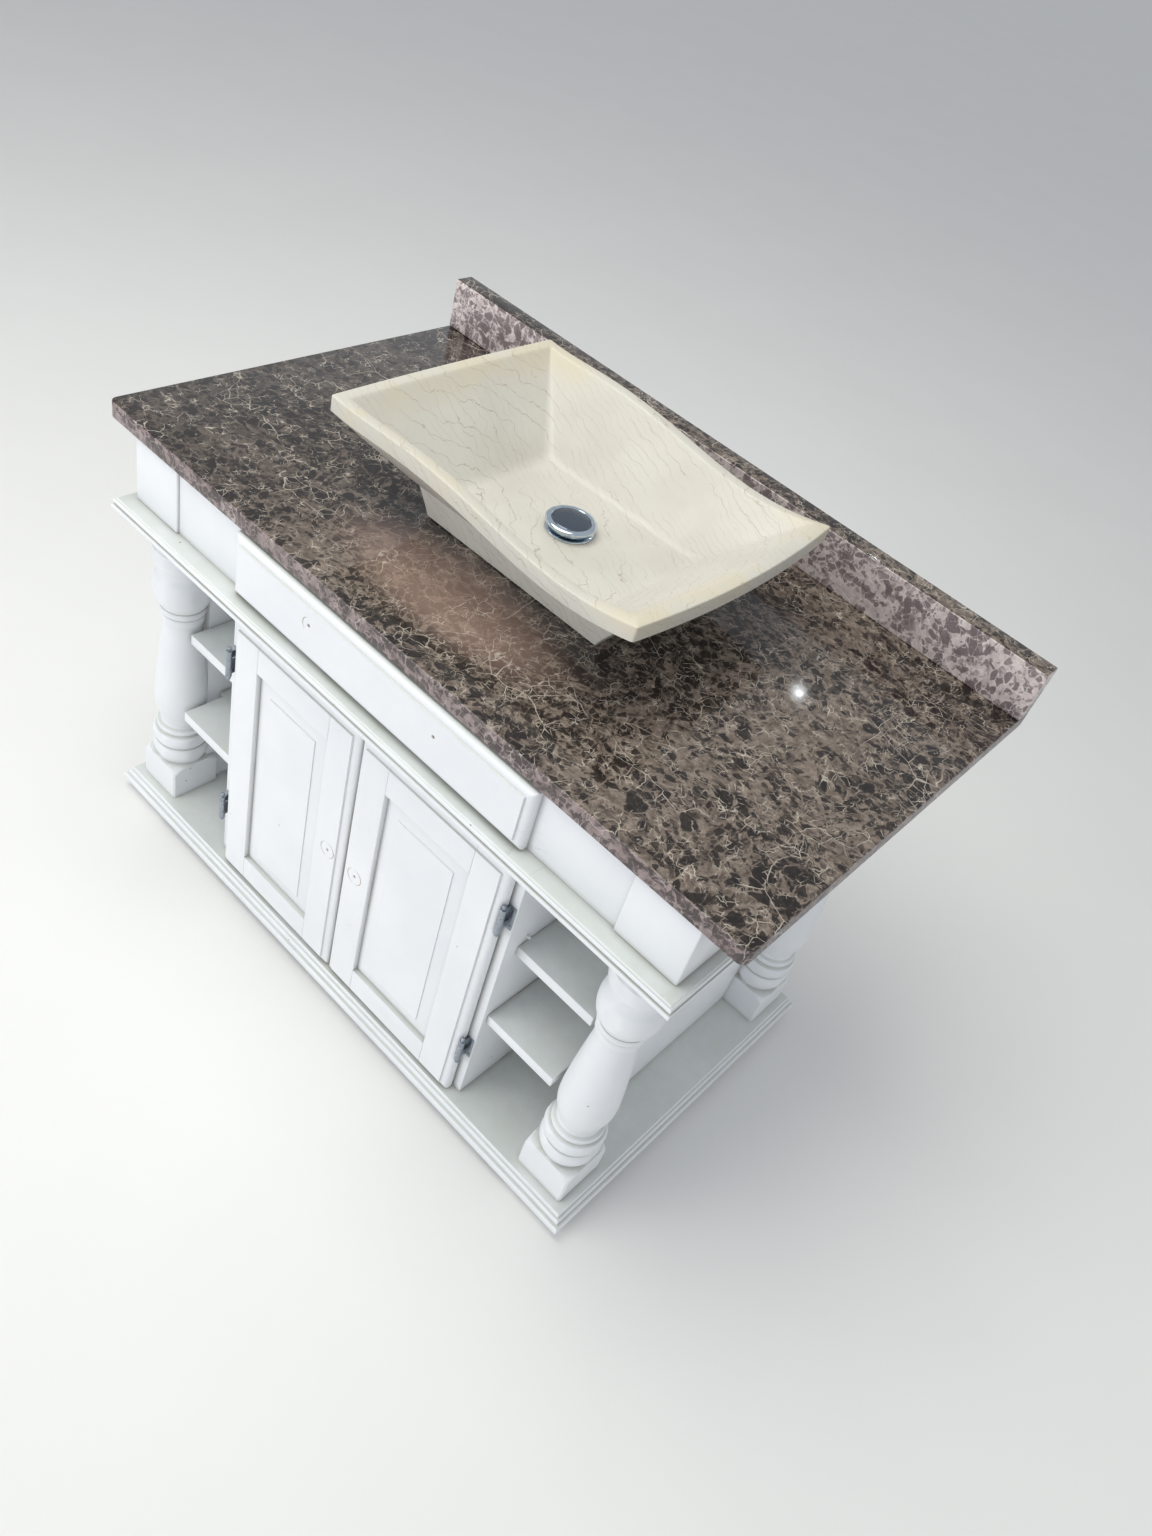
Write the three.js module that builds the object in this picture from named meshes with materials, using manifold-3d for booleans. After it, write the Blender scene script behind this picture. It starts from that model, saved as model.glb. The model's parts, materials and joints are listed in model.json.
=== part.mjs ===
// Vessel sink on a painted wooden vanity with a stone top.
// Millimetres, +Z up. The origin is on the floor, at the bottom centre of the bounding box.
// +X is to the right of someone facing the vanity, and +Y goes towards the wall behind it.
// The vanity's own pieces are placed by X, by depth behind the stone top's front edge, and by height.
import * as THREE from "three";
import { mergeVertices } from "three/addons/utils/BufferGeometryUtils.js";
import Module from "manifold-3d";

// ---- Driving dimensions ----

// Stone top and upstand
const TOP_WIDTH = 1200;
const TOP_DEPTH = 693;
const TOP_THICKNESS = 26;
const TOP_HEIGHT = 753;
const TOP_CORNER_RADIUS = 12;
const UPSTAND_HEIGHT = 85;
const UPSTAND_THICKNESS = 35;

// Plinth board, feet and middle board
const FOOT_HEIGHT = 16;
const FOOT_SIZE = 92;
const FOOT_INSET = 19;
const BASE_TOP = 48;
const BASE_WIDTH = 1113;
const BASE_FRONT = -21;
const BODY_BACK = 611;
const SLAB_THICKNESS = 35;
const SLAB_TOP = 619;
const SLAB_WIDTH = 1121;
const SLAB_FRONT = -25;
const PIPE_CUTOUT_WIDTH = 240;
const PIPE_CUTOUT_FRONT = 296;
const PIPE_CUTOUT_BACK = 556;

// Turned columns
const COLUMN_SQUARE = 89;
const COLUMN_X = 486.5;
const COLUMN_FRONT = 49;
const COLUMN_BACK = 543.5;
const POMMEL_SHOULDER = 40;
const POMMEL_HEIGHT = 68;
const LATHE_SIDES = 16;
const SCRIBE_GAP = 0.5;

// Apron under the stone top
const POST_SIZE = 101;
const POST_OUTER_X = 541;
const POST_FRONT = 5;
const POST_BACK = 587;
const FILLER_RECESS = 4;
const BOARD = 20;

// Drawer
const DRAWER_OPENING_X = 272;
const DRAWER_FRONT_X = 290;
const DRAWER_FRONT_BOTTOM = 622;
const DRAWER_FRONT_TOP = 723;
const DRAWER_BOX_X = 262;
const DRAWER_BOX_BACK = 276;
const DRAWER_BOX_BOTTOM = 628;
const DRAWER_BOX_TOP = 700;
const DRAWER_SIDE = 14;
const DRAWER_BOTTOM_THICKNESS = 6;
const GUIDE_BOARD = 14;

// Centre cabinet and doors
const CABINET_X = 305;
const CABINET_SIDE = 18;
const CABINET_FRONT = 12;
const DOOR_FACE = -9;
const DOOR_THICKNESS = 18;
const DOOR_OUTER_X = { left: 281.5, right: 289.5 };
const DOOR_CLEARANCE = 3;
const MEETING_GAP = 1.5;
const DOOR_MEMBER = 60;
const LIP_WIDTH = 12.5;
const LIP_STEP = 3;
const PANEL_BORDER = 28;
const PANEL_FIELD_DEPTH = 4;
const PANEL_EDGE_DEPTH = 9;
const PANEL_BACK_DEPTH = 15;

// Side compartments
const SIDE_PANEL_X = 466;
const SIDE_PANEL = 16;
const SHELF_THICKNESS = 19;
const SIDE_PANEL_FRONT = 73;
const SIDE_PANEL_BACK = 519.5;
const SHELF_NOTCH_FRONT = 98;
const SHELF_NOTCH_BACK = 494;
const UPPER_SHELF = { front: 39, top: 407, outer: 449.7 };
const LOWER_SHELF = { front: 21, top: 255, outer: 438 };
const BACK_PANEL_FRONT = 570;
const BACK_PANEL_THICKNESS = 12;
const BACK_CUTOUT = { halfWidth: 110, bottom: 300, top: 500 };

// Hinges
const HINGE_X = 293;
const HINGE_DEPTH = -3.6;
const HINGE_HEIGHTS = { upper: 485, lower: 170 };
const BARREL_RADIUS = 4.8;
const BARREL_LENGTH = 50;
const BALL_TIP_LENGTH = 7;
const KNUCKLE_MIDDLE = 18;
const KNUCKLE_GAP = 0.3;
const PIN_RADIUS = 1.5;
const PIN_CLEARANCE = 0.08;
const LEAF_THICKNESS = 1.4;
const LEAF_HEIGHT = 44;
const FRAME_LEAF_REACH = 10;
const FRAME_LEAF_NOTCH = 7;
const FRAME_WEB = 0.7;
const DOOR_WEB = { near: -3.2, far: -2 };
const DOOR_LEAF_REACH = 30;

// Stone basin, measured from its own centre on the stone top
const SINK_X = -6;
const SINK_DEPTH = 337;
const SINK_TURN = 0.012;
const SINK_REST_GAP = 0.3;
const SINK_LENGTH = 544;
const SINK_WIDTH = 424;
const SINK_HEIGHT = 150;
const SINK_RIM_EDGE = 22;
const SINK_RIM_WIDTH = 18;
const SINK_END_BOW = { left: 3, right: 15 };
const SINK_FOOT_LENGTH = 330;
const SINK_FOOT_WIDTH = 222;
const SINK_FOOT_HEIGHT = 38;
const SINK_FOOT_TOP_LENGTH = 376;
const SINK_FOOT_TOP_WIDTH = 226;
const SINK_FLOOR = 44;
const SINK_FLOOR_LENGTH = 272;
const SINK_FLOOR_WIDTH = 186;
const SINK_FLOOR_SHIFT = 9;
const SINK_FLOOR_FILLET = 0.16;
const SINK_FLARE = { steps: 4, lengthPower: 1.1, widthPower: 0.95 };
const SINK_WALL_LEVELS = [1, 0.8, 0.6, 0.4, 0.2, 0.1, 0];

// The rim rises and falls along the basin: its height above SINK_HEIGHT is a polynomial in u, where
// u runs from -1 at the left end to 1 at the right end, with these coefficients from the constant up.
const RIM_WAVE = [-4.2, -34.3, -12, 53.9, 19, -20.75];

// Pop-up waste
const WASTE_FLANGE_RADIUS = 36;
const WASTE_FLANGE_THICKNESS = 3;
const WASTE_TUBE_RADIUS = 19;
const WASTE_BORE_RADIUS = 15;
const WASTE_HOLE_RADIUS = 22;
const WASTE_BOTTOM = 545;
const CAP_RADIUS = 37.5;
const CAP_UNDERSIDE = 54.5;
const CAP_TOP = 62;
const CAP_STEM_RADIUS = 5;
const CAP_STEM_LENGTH = 25;
const NUT_RADIUS = 31;
const NUT_THICKNESS = 10;
const GASKET_RADIUS = 34;
const GASKET_THICKNESS = 3;

// Clearance between pieces that touch
const GAP = 0.3;

// Turned profiles, as [radius, height] pairs above the column's own base
const POMMEL_CUT = [[58, 50], [50, 59], [42.5, 68]];
const SHAFT_CURVE = [[33, 151], [39, 167], [44, 195], [42, 240], [37, 300], [31.5, 362]];
const URN_CURVE = [[36.5, 399], [45, 416], [47, 435], [44.5, 451], [40, 462], [45.5, 479]];
const CAPITAL = [[46.5, 484], [46.5, 506], [40, 514]];
const CURVE_STEPS = 8;
const NECK_RADIUS = 41;

// Half-round beads: heights of their ends, radius at the ends and at the middle, and steps
const FOOT_BEADS = [[74, 102, 41, 47, 4], [105, 130, 41.5, 47.5, 4], [132, 144, 38, 41, 3]];
const NECK_BEADS = [[366, 382, 32.5, 35.5, 3], [384, 397, 34.5, 38, 3]];

// Rounded lip of the doors and the drawer front, as [inset, depth behind the face] pairs
const LIP_ROUND = [[0, 11], [2, 7], [6, 4.2]];

// Ball tip of a hinge pin, as [radius, distance from the barrel] pairs
const BALL_TIP = [[0, 0], [3, 0], [2.2, 1.6], [4, 3.4], [3.4, 5.6], [0, BALL_TIP_LENGTH]];

// ---- Values worked out from the driving dimensions ----

const TOP_FRONT_Y = -(TOP_DEPTH + SLAB_FRONT) / 2;
const TOP_UNDERSIDE = TOP_HEIGHT - TOP_THICKNESS;
const SLAB_UNDERSIDE = SLAB_TOP - SLAB_THICKNESS;
const DOOR_BOTTOM = BASE_TOP + DOOR_CLEARANCE;
const DOOR_TOP = SLAB_UNDERSIDE - DOOR_CLEARANCE;
const COLUMN_HEIGHT = SLAB_UNDERSIDE - BASE_TOP - 2 * GAP;
const APRON_HEIGHT = TOP_UNDERSIDE - SLAB_TOP - 2 * GAP;

// ---- Materials ----

const MATERIALS = {
  paint: new THREE.MeshStandardMaterial({ color: 0xe9ebec, roughness: 0.45, metalness: 0 }),
  timber: new THREE.MeshStandardMaterial({ color: 0xc9b48c, roughness: 0.7, metalness: 0 }),
  marble: new THREE.MeshStandardMaterial({ color: 0x57473f, roughness: 0.2, metalness: 0 }),
  limestone: new THREE.MeshStandardMaterial({ color: 0xd6cfbd, roughness: 0.45, metalness: 0 }),
  chrome: new THREE.MeshStandardMaterial({ color: 0xb9c6d2, roughness: 0.12, metalness: 1 }),
  pewter: new THREE.MeshStandardMaterial({ color: 0x4a5058, roughness: 0.4, metalness: 1 }),
  rubber: new THREE.MeshStandardMaterial({ color: 0x1c1c1c, roughness: 0.9, metalness: 0 }),
};

// ---- Solid helpers ----

const wasm = await Module();
wasm.setup();

function toSolid(geometry) {
  const bare = geometry.clone();
  bare.deleteAttribute("normal");
  bare.deleteAttribute("uv");
  const merged = mergeVertices(bare, 1e-4);
  const mesh = new wasm.Mesh({
    numProp: 3,
    vertProperties: new Float32Array(merged.attributes.position.array),
    triVerts: new Uint32Array(merged.index.array),
  });
  return new wasm.Manifold(mesh);
}

function toGeometry(solid) {
  const mesh = solid.getMesh();
  const geometry = new THREE.BufferGeometry();
  geometry.setAttribute("position", new THREE.BufferAttribute(mesh.vertProperties, 3));
  geometry.setIndex(new THREE.BufferAttribute(mesh.triVerts, 1));
  const faceted = geometry.toNonIndexed();
  faceted.computeVertexNormals();
  return faceted;
}

const cut = (body, tool) => toGeometry(toSolid(body).subtract(toSolid(tool)));
const common = (a, b) => toGeometry(toSolid(a).intersect(toSolid(b)));

function join(geometries) {
  const solids = geometries.map(toSolid);
  return toGeometry(solids.reduce((whole, next) => whole.add(next)));
}

// A box between two corners.
function block(x0, x1, y0, y1, z0, z1) {
  const box = new THREE.BoxGeometry(x1 - x0, y1 - y0, z1 - z0);
  return box.translate((x0 + x1) / 2, (y0 + y1) / 2, (z0 + z1) / 2);
}

// A solid of revolution about Z from [radius, height] pairs that start and end on the axis.
function turned(profile, sides = LATHE_SIDES) {
  const points = profile.map(([radius, height]) => new THREE.Vector2(radius, height));
  return new THREE.LatheGeometry(points, sides).rotateX(Math.PI / 2);
}

// A closed solid through a stack of loops that all have the same number of points.
function loft(loops) {
  const count = loops[0].length;
  const middle = (loop) => loop.reduce((sum, p) => sum.add(p), new THREE.Vector3()).divideScalar(count);
  const points = [...loops.flat(), middle(loops[0]), middle(loops.at(-1))];
  const bottomCentre = loops.length * count;
  const topCentre = bottomCentre + 1;
  const index = [];
  for (let i = 0; i < count; i++) {
    const next = (i + 1) % count;
    index.push(bottomCentre, next, i);
    const last = (loops.length - 1) * count;
    index.push(topCentre, last + i, last + next);
    for (let level = 0; level < loops.length - 1; level++) {
      const low = level * count;
      const high = low + count;
      index.push(low + i, low + next, high + next);
      index.push(low + i, high + next, high + i);
    }
  }
  return new THREE.BufferGeometry().setFromPoints(points).setIndex(index);
}

// A board whose edge follows [inset, height] pairs, bottom to top, the same on all four sides.
function mouldedBoard(x0, x1, y0, y1, profile) {
  const loops = profile.map(([inset, height]) => [
    new THREE.Vector3(x0 + inset, y0 + inset, height),
    new THREE.Vector3(x1 - inset, y0 + inset, height),
    new THREE.Vector3(x1 - inset, y1 - inset, height),
    new THREE.Vector3(x0 + inset, y1 - inset, height),
  ]);
  return loft(loops);
}

// The same board standing upright: its profile pairs are [inset, depth], back to front.
function uprightMouldedBoard(x0, x1, z0, z1, profile) {
  const loops = profile.map(([inset, depth]) => [
    new THREE.Vector3(x0 + inset, depth, z0 + inset),
    new THREE.Vector3(x1 - inset, depth, z0 + inset),
    new THREE.Vector3(x1 - inset, depth, z1 - inset),
    new THREE.Vector3(x0 + inset, depth, z1 - inset),
  ]);
  return loft(loops);
}

// The mirror image across X = 0, with each triangle turned round so that its faces still point out.
function mirroredInX(geometry) {
  const source = geometry.attributes.position;
  const corners = [];
  for (let first = 0; first < source.count; first += 3) {
    for (const corner of [first, first + 2, first + 1]) {
      const point = new THREE.Vector3().fromBufferAttribute(source, corner);
      corners.push(point.setX(-point.x));
    }
  }
  return new THREE.BufferGeometry().setFromPoints(corners);
}

// ---- The vanity's group, its depth measured from the stone top's front edge ----

const model = new THREE.Group();
const vanity = new THREE.Group();
vanity.position.y = TOP_FRONT_Y;
model.add(vanity);

function add(name, geometry, material, parent = vanity) {
  const mesh = new THREE.Mesh(geometry, MATERIALS[material]);
  mesh.name = name;
  parent.add(mesh);
  return mesh;
}

const SIDES = [["left", -1], ["right", 1]];

// A pair of corners mirrored to the side that sign names, as an ordered [low, high].
const mirrored = (sign, a, b) => (sign > 0 ? [a, b] : [-b, -a]);

// ---- Plinth board and feet ----

const BASE_PROFILE = [
  [6, FOOT_HEIGHT],
  [0, FOOT_HEIGHT + 4],
  [0, FOOT_HEIGHT + 14],
  [5, FOOT_HEIGHT + 17],
  [6, FOOT_HEIGHT + 24],
  [11, FOOT_HEIGHT + 27],
  [12, BASE_TOP],
];

function addBase() {
  const half = BASE_WIDTH / 2;
  add("base_board", mouldedBoard(-half, half, BASE_FRONT, BODY_BACK, BASE_PROFILE), "paint");
  const rows = [
    ["front", BASE_FRONT + FOOT_INSET / 2],
    ["back", BODY_BACK - FOOT_INSET - FOOT_SIZE],
  ];
  for (const [row, depth] of rows) {
    for (const [side, sign] of SIDES) {
      const outer = half - FOOT_INSET;
      const [x0, x1] = mirrored(sign, outer - FOOT_SIZE, outer);
      const foot = block(x0, x1, depth, depth + FOOT_SIZE, 0, FOOT_HEIGHT - GAP);
      add(`foot_${row}_${side}`, foot, "paint");
    }
  }
}

// ---- Turned columns ----

// A half-round bead between two heights, standing proud of the radius around it.
function bead([low, high, inner, outer, steps]) {
  const points = [];
  for (let i = 0; i <= steps; i++) {
    const angle = (Math.PI * i) / steps;
    const height = (low + high) / 2 - ((high - low) / 2) * Math.cos(angle);
    points.push([inner + (outer - inner) * Math.sin(angle), height]);
  }
  return points;
}

function curveThrough(pairs) {
  const curve = new THREE.SplineCurve(pairs.map(([radius, height]) => new THREE.Vector2(radius, height)));
  return curve.getPoints(CURVE_STEPS).map((p) => [p.x, p.y]);
}

// A square block whose top the lathe has cut down to a round, and the turning above it. Its surface
// lies outside the column's own by grow, which gives the tool that scribes a board to the column.
function columnGeometry(grow = 0) {
  const half = COLUMN_SQUARE / 2 + grow;
  const corner = half * Math.SQRT2 + 1;
  const grown = (profile) => profile.map(([radius, height]) => [radius + grow, height]);
  const pommel = turned([
    [0, -grow],
    [corner, -grow],
    [corner, POMMEL_SHOULDER],
    ...grown(POMMEL_CUT),
    [0, POMMEL_HEIGHT],
  ], 2 * LATHE_SIDES);
  const square = common(block(-half, half, -half, half, -grow, POMMEL_HEIGHT), pommel);
  const [topRadius] = CAPITAL.at(-1);
  const turning = turned([
    [0, POMMEL_SHOULDER],
    ...grown([
      [NECK_RADIUS, POMMEL_SHOULDER],
      ...FOOT_BEADS.flatMap(bead),
      ...curveThrough(SHAFT_CURVE),
      ...NECK_BEADS.flatMap(bead),
      ...curveThrough(URN_CURVE),
      ...CAPITAL,
      [topRadius, COLUMN_HEIGHT + grow],
    ]),
    [0, COLUMN_HEIGHT + grow],
  ]);
  return join([square, turning]);
}

function addColumns() {
  const geometry = columnGeometry();
  for (const [row, depth] of [["front", COLUMN_FRONT], ["back", COLUMN_BACK]]) {
    for (const [side, sign] of SIDES) {
      const column = add(`column_${row}_${side}`, geometry, "paint");
      column.position.set(sign * COLUMN_X, depth, BASE_TOP + GAP);
    }
  }
}

// ---- Panels, shelves and the centre cabinet's carcass ----

// A shelf from the cabinet's wall outwards, let in round the columns between the side panels.
function shelfGeometry(sign, shelf) {
  const inner = CABINET_X + GAP;
  const back = BACK_PANEL_FRONT - GAP;
  const bottom = shelf.top - SHELF_THICKNESS;
  const [x0, x1] = mirrored(sign, inner, shelf.outer);
  const [w0, w1] = mirrored(sign, inner, SIDE_PANEL_X - SIDE_PANEL - GAP);
  const narrow = block(x0, x1, shelf.front, back, bottom, shelf.top);
  const wide = block(w0, w1, SHELF_NOTCH_FRONT, SHELF_NOTCH_BACK, bottom, shelf.top);
  return join([narrow, wide]);
}

// A panel between the columns of one side, with its upright edges scribed to their turned profile.
function sidePanel(sign, low, high) {
  const [x0, x1] = mirrored(sign, SIDE_PANEL_X - SIDE_PANEL, SIDE_PANEL_X);
  const board = block(x0, x1, SIDE_PANEL_FRONT, SIDE_PANEL_BACK, low, high);
  const scribe = columnGeometry(SCRIBE_GAP);
  const tools = [COLUMN_FRONT, COLUMN_BACK].map((depth) => (
    scribe.clone().translate(sign * COLUMN_X, depth, BASE_TOP + GAP)
  ));
  return tools.reduce(cut, board);
}

function addCarcass() {
  const low = BASE_TOP + GAP;
  const high = SLAB_UNDERSIDE - GAP;
  for (const [side, sign] of SIDES) {
    add(`outer_side_panel_${side}`, sidePanel(sign, low, high), "paint");
    const [c0, c1] = mirrored(sign, CABINET_X - CABINET_SIDE, CABINET_X);
    const wall = block(c0, c1, CABINET_FRONT, BACK_PANEL_FRONT - GAP, low, high);
    add(`cabinet_side_${side}`, wall, "paint");
    add(`shelf_upper_${side}`, shelfGeometry(sign, UPPER_SHELF), "paint");
    add(`shelf_lower_${side}`, shelfGeometry(sign, LOWER_SHELF), "paint");
  }
  const backHalf = COLUMN_X - COLUMN_SQUARE / 2 - 2 * GAP;
  const backEnd = BACK_PANEL_FRONT + BACK_PANEL_THICKNESS;
  const whole = block(-backHalf, backHalf, BACK_PANEL_FRONT, backEnd, low, high);
  const window = block(
    -BACK_CUTOUT.halfWidth, BACK_CUTOUT.halfWidth,
    BACK_PANEL_FRONT - 1, backEnd + 1,
    BACK_CUTOUT.bottom, BACK_CUTOUT.top,
  );
  add("back_panel", cut(whole, window), "paint");
}

// ---- Middle board ----

const SLAB_PROFILE = [
  [16, SLAB_UNDERSIDE],
  [12, SLAB_UNDERSIDE + 6],
  [4, SLAB_UNDERSIDE + 10],
  [0, SLAB_UNDERSIDE + 15],
  [0, SLAB_TOP - 12],
  [3, SLAB_TOP - 9],
  [4, SLAB_TOP - 3],
  [6, SLAB_TOP],
];

function addSlab() {
  const half = SLAB_WIDTH / 2;
  const board = mouldedBoard(-half, half, SLAB_FRONT, BODY_BACK, SLAB_PROFILE);
  const hole = block(
    -PIPE_CUTOUT_WIDTH / 2, PIPE_CUTOUT_WIDTH / 2,
    PIPE_CUTOUT_FRONT, PIPE_CUTOUT_BACK,
    SLAB_UNDERSIDE - 1, SLAB_TOP + 1,
  );
  add("middle_board", cut(board, hole), "paint");
}

// ---- Apron ----

function addApron() {
  const low = SLAB_TOP + GAP;
  const high = low + APRON_HEIGHT;
  const postInner = POST_OUTER_X - POST_SIZE;
  for (const [side, sign] of SIDES) {
    const [p0, p1] = mirrored(sign, postInner, POST_OUTER_X);
    add(`post_front_${side}`, block(p0, p1, POST_FRONT, POST_FRONT + POST_SIZE, low, high), "paint");
    add(`post_back_${side}`, block(p0, p1, POST_BACK - POST_SIZE, POST_BACK, low, high), "paint");
    const fillerFace = POST_FRONT + FILLER_RECESS;
    const [f0, f1] = mirrored(sign, DRAWER_OPENING_X, postInner - GAP);
    add(`apron_front_${side}`, block(f0, f1, fillerFace, fillerFace + BOARD, low, high), "paint");
    const outer = POST_OUTER_X - FILLER_RECESS;
    const [a0, a1] = mirrored(sign, outer - BOARD, outer);
    const sideFront = POST_FRONT + POST_SIZE + GAP;
    const sideBack = POST_BACK - POST_SIZE - GAP;
    add(`apron_side_${side}`, block(a0, a1, sideFront, sideBack, low, high), "paint");
  }
  const backHalf = postInner - GAP;
  const backFace = POST_BACK - FILLER_RECESS;
  add("apron_back", block(-backHalf, backHalf, backFace - BOARD, backFace, low, high), "paint");
}

// ---- Lipped fronts: a rounded lip, a small step and a flat face ----

function lippedFront(x0, x1, z0, z1) {
  return uprightMouldedBoard(x0, x1, z0, z1, [
    [0, DOOR_FACE + DOOR_THICKNESS],
    ...LIP_ROUND.map(([inset, depth]) => [inset, DOOR_FACE + depth]),
    [LIP_WIDTH, DOOR_FACE + LIP_STEP],
    [LIP_WIDTH, DOOR_FACE],
  ]);
}

// ---- Drawer ----

function addDrawer() {
  const front = lippedFront(-DRAWER_FRONT_X, DRAWER_FRONT_X, DRAWER_FRONT_BOTTOM, DRAWER_FRONT_TOP);
  // The front stands clear of the apron boards that it overlaps.
  add("drawer_front", front.translate(0, -GAP, 0), "paint");
  const boxFront = DOOR_FACE + DOOR_THICKNESS;
  const low = DRAWER_BOX_BOTTOM;
  const high = DRAWER_BOX_TOP;
  const inner = DRAWER_BOX_X - DRAWER_SIDE;
  for (const [side, sign] of SIDES) {
    const [x0, x1] = mirrored(sign, inner, DRAWER_BOX_X);
    add(`drawer_side_${side}`, block(x0, x1, boxFront, DRAWER_BOX_BACK, low, high), "timber");
  }
  const span = inner - GAP;
  const backFront = DRAWER_BOX_BACK - DRAWER_SIDE;
  add("drawer_back", block(-span, span, backFront, DRAWER_BOX_BACK, low, high), "timber");
  const bottom = block(
    -span, span,
    boxFront, backFront - GAP,
    low + DRAWER_BOTTOM_THICKNESS, low + 2 * DRAWER_BOTTOM_THICKNESS,
  );
  add("drawer_bottom", bottom, "timber");
}

// An upright board with a ledge under the drawer's side, from the front apron to the back one.
function addDrawerGuides() {
  const low = SLAB_TOP + GAP;
  const guideFront = POST_FRONT + FILLER_RECESS + BOARD + GAP;
  const guideBack = POST_BACK - FILLER_RECESS - BOARD - GAP;
  for (const [side, sign] of SIDES) {
    const [b0, b1] = mirrored(sign, DRAWER_OPENING_X, DRAWER_OPENING_X + GUIDE_BOARD);
    const [l0, l1] = mirrored(sign, DRAWER_BOX_X - DRAWER_SIDE, DRAWER_OPENING_X + 1);
    const board = block(b0, b1, guideFront, guideBack, low, low + APRON_HEIGHT);
    const ledge = block(l0, l1, guideFront, guideBack, low, DRAWER_BOX_BOTTOM - GAP);
    add(`drawer_guide_${side}`, join([board, ledge]), "timber");
  }
}

// ---- Doors ----

function panelGeometry(x0, x1, z0, z1) {
  const at = (depth) => DOOR_FACE + depth;
  return uprightMouldedBoard(x0, x1, z0, z1, [
    [0, at(PANEL_BACK_DEPTH)],
    [0, at(PANEL_EDGE_DEPTH)],
    [PANEL_BORDER, at(PANEL_FIELD_DEPTH + 1)],
    [PANEL_BORDER + 1, at(PANEL_FIELD_DEPTH)],
  ]);
}

function addDoor(side, sign) {
  const [x0, x1] = mirrored(sign, MEETING_GAP, DOOR_OUTER_X[side]);
  const front = lippedFront(x0, x1, DOOR_BOTTOM, DOOR_TOP);
  const inside = [x0 + DOOR_MEMBER, x1 - DOOR_MEMBER];
  const railBottom = DOOR_BOTTOM + DOOR_MEMBER;
  const railTop = DOOR_TOP - DOOR_MEMBER;
  const reach = 2 * DOOR_THICKNESS;
  const member = (a, b, low, high) => common(front, block(a, b, -reach, reach, low, high));
  const leftStile = member(x0 - 1, inside[0], DOOR_BOTTOM - 1, DOOR_TOP + 1);
  const rightStile = member(inside[1], x1 + 1, DOOR_BOTTOM - 1, DOOR_TOP + 1);
  const [meeting, hinged] = sign > 0 ? [leftStile, rightStile] : [rightStile, leftStile];
  const low = inside[0] + GAP;
  const high = inside[1] - GAP;
  add(`door_${side}_hinge_stile`, hinged, "paint");
  add(`door_${side}_meeting_stile`, meeting, "paint");
  add(`door_${side}_top_rail`, member(low, high, railTop, DOOR_TOP + 1), "paint");
  add(`door_${side}_bottom_rail`, member(low, high, DOOR_BOTTOM - 1, railBottom), "paint");
  add(`door_${side}_panel`, panelGeometry(low, high, railBottom + GAP, railTop - GAP), "paint");
}

// ---- Hinges: a barrel with ball tips, one leaf on the cabinet's edge and one round the door ----

function barrel(low, high, radius = BARREL_RADIUS, sides = 12) {
  return turned([[0, low], [radius, low], [radius, high], [0, high]], sides);
}

function ballTip(height, direction) {
  const tip = turned(BALL_TIP, 12);
  if (direction < 0) tip.rotateX(Math.PI);
  return tip.translate(0, 0, height);
}

// Both leaves are shaped for the right-hand door about the pin's axis, then turned for the left.
// The frame leaf's plate is notched behind the middle knuckle, where the door leaf swings past it.
function frameLeaf() {
  const half = BARREL_LENGTH / 2;
  const leafHalf = LEAF_HEIGHT / 2;
  const inner = KNUCKLE_MIDDLE / 2 + KNUCKLE_GAP;
  const back = CABINET_FRONT - GAP - HINGE_DEPTH;
  const front = back - LEAF_THICKNESS;
  const sunk = GAP;
  const pieces = [
    barrel(-half, half, PIN_RADIUS),
    ballTip(half - sunk, 1),
    ballTip(sunk - half, -1),
    block(FRAME_LEAF_NOTCH, FRAME_LEAF_REACH, front, back, -leafHalf, leafHalf),
  ];
  for (const [low, high] of [[inner, half], [-half, -inner]]) {
    const [plateLow, plateHigh] = [Math.max(low, -leafHalf), Math.min(high, leafHalf)];
    pieces.push(barrel(low, high));
    pieces.push(block(-FRAME_WEB, FRAME_LEAF_NOTCH + 1, front, back, plateLow, plateHigh));
    pieces.push(block(-FRAME_WEB, FRAME_WEB, 0, back - GAP, plateLow, plateHigh));
  }
  return join(pieces);
}

function doorLeaf() {
  const half = KNUCKLE_MIDDLE / 2;
  const front = DOOR_FACE + DOOR_THICKNESS + GAP - HINGE_DEPTH;
  const back = front + LEAF_THICKNESS;
  const bore = barrel(-half - 1, half + 1, PIN_RADIUS + PIN_CLEARANCE);
  const plates = join([
    barrel(-half, half),
    block(DOOR_WEB.near, DOOR_WEB.far, 0, back, -half, half),
    block(-DOOR_LEAF_REACH, DOOR_WEB.far, front, back, -half, half),
  ]);
  return cut(plates, bore);
}

function addHinges(side, sign) {
  for (const [level, height] of Object.entries(HINGE_HEIGHTS)) {
    for (const [piece, make] of [["frame_leaf", frameLeaf], ["door_leaf", doorLeaf]]) {
      const geometry = sign > 0 ? make() : mirroredInX(make());
      const mesh = add(`hinge_${side}_${level}_${piece}`, geometry, "pewter");
      mesh.position.set(sign * HINGE_X, HINGE_DEPTH, height);
    }
  }
}

// ---- Stone top and upstand ----

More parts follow.
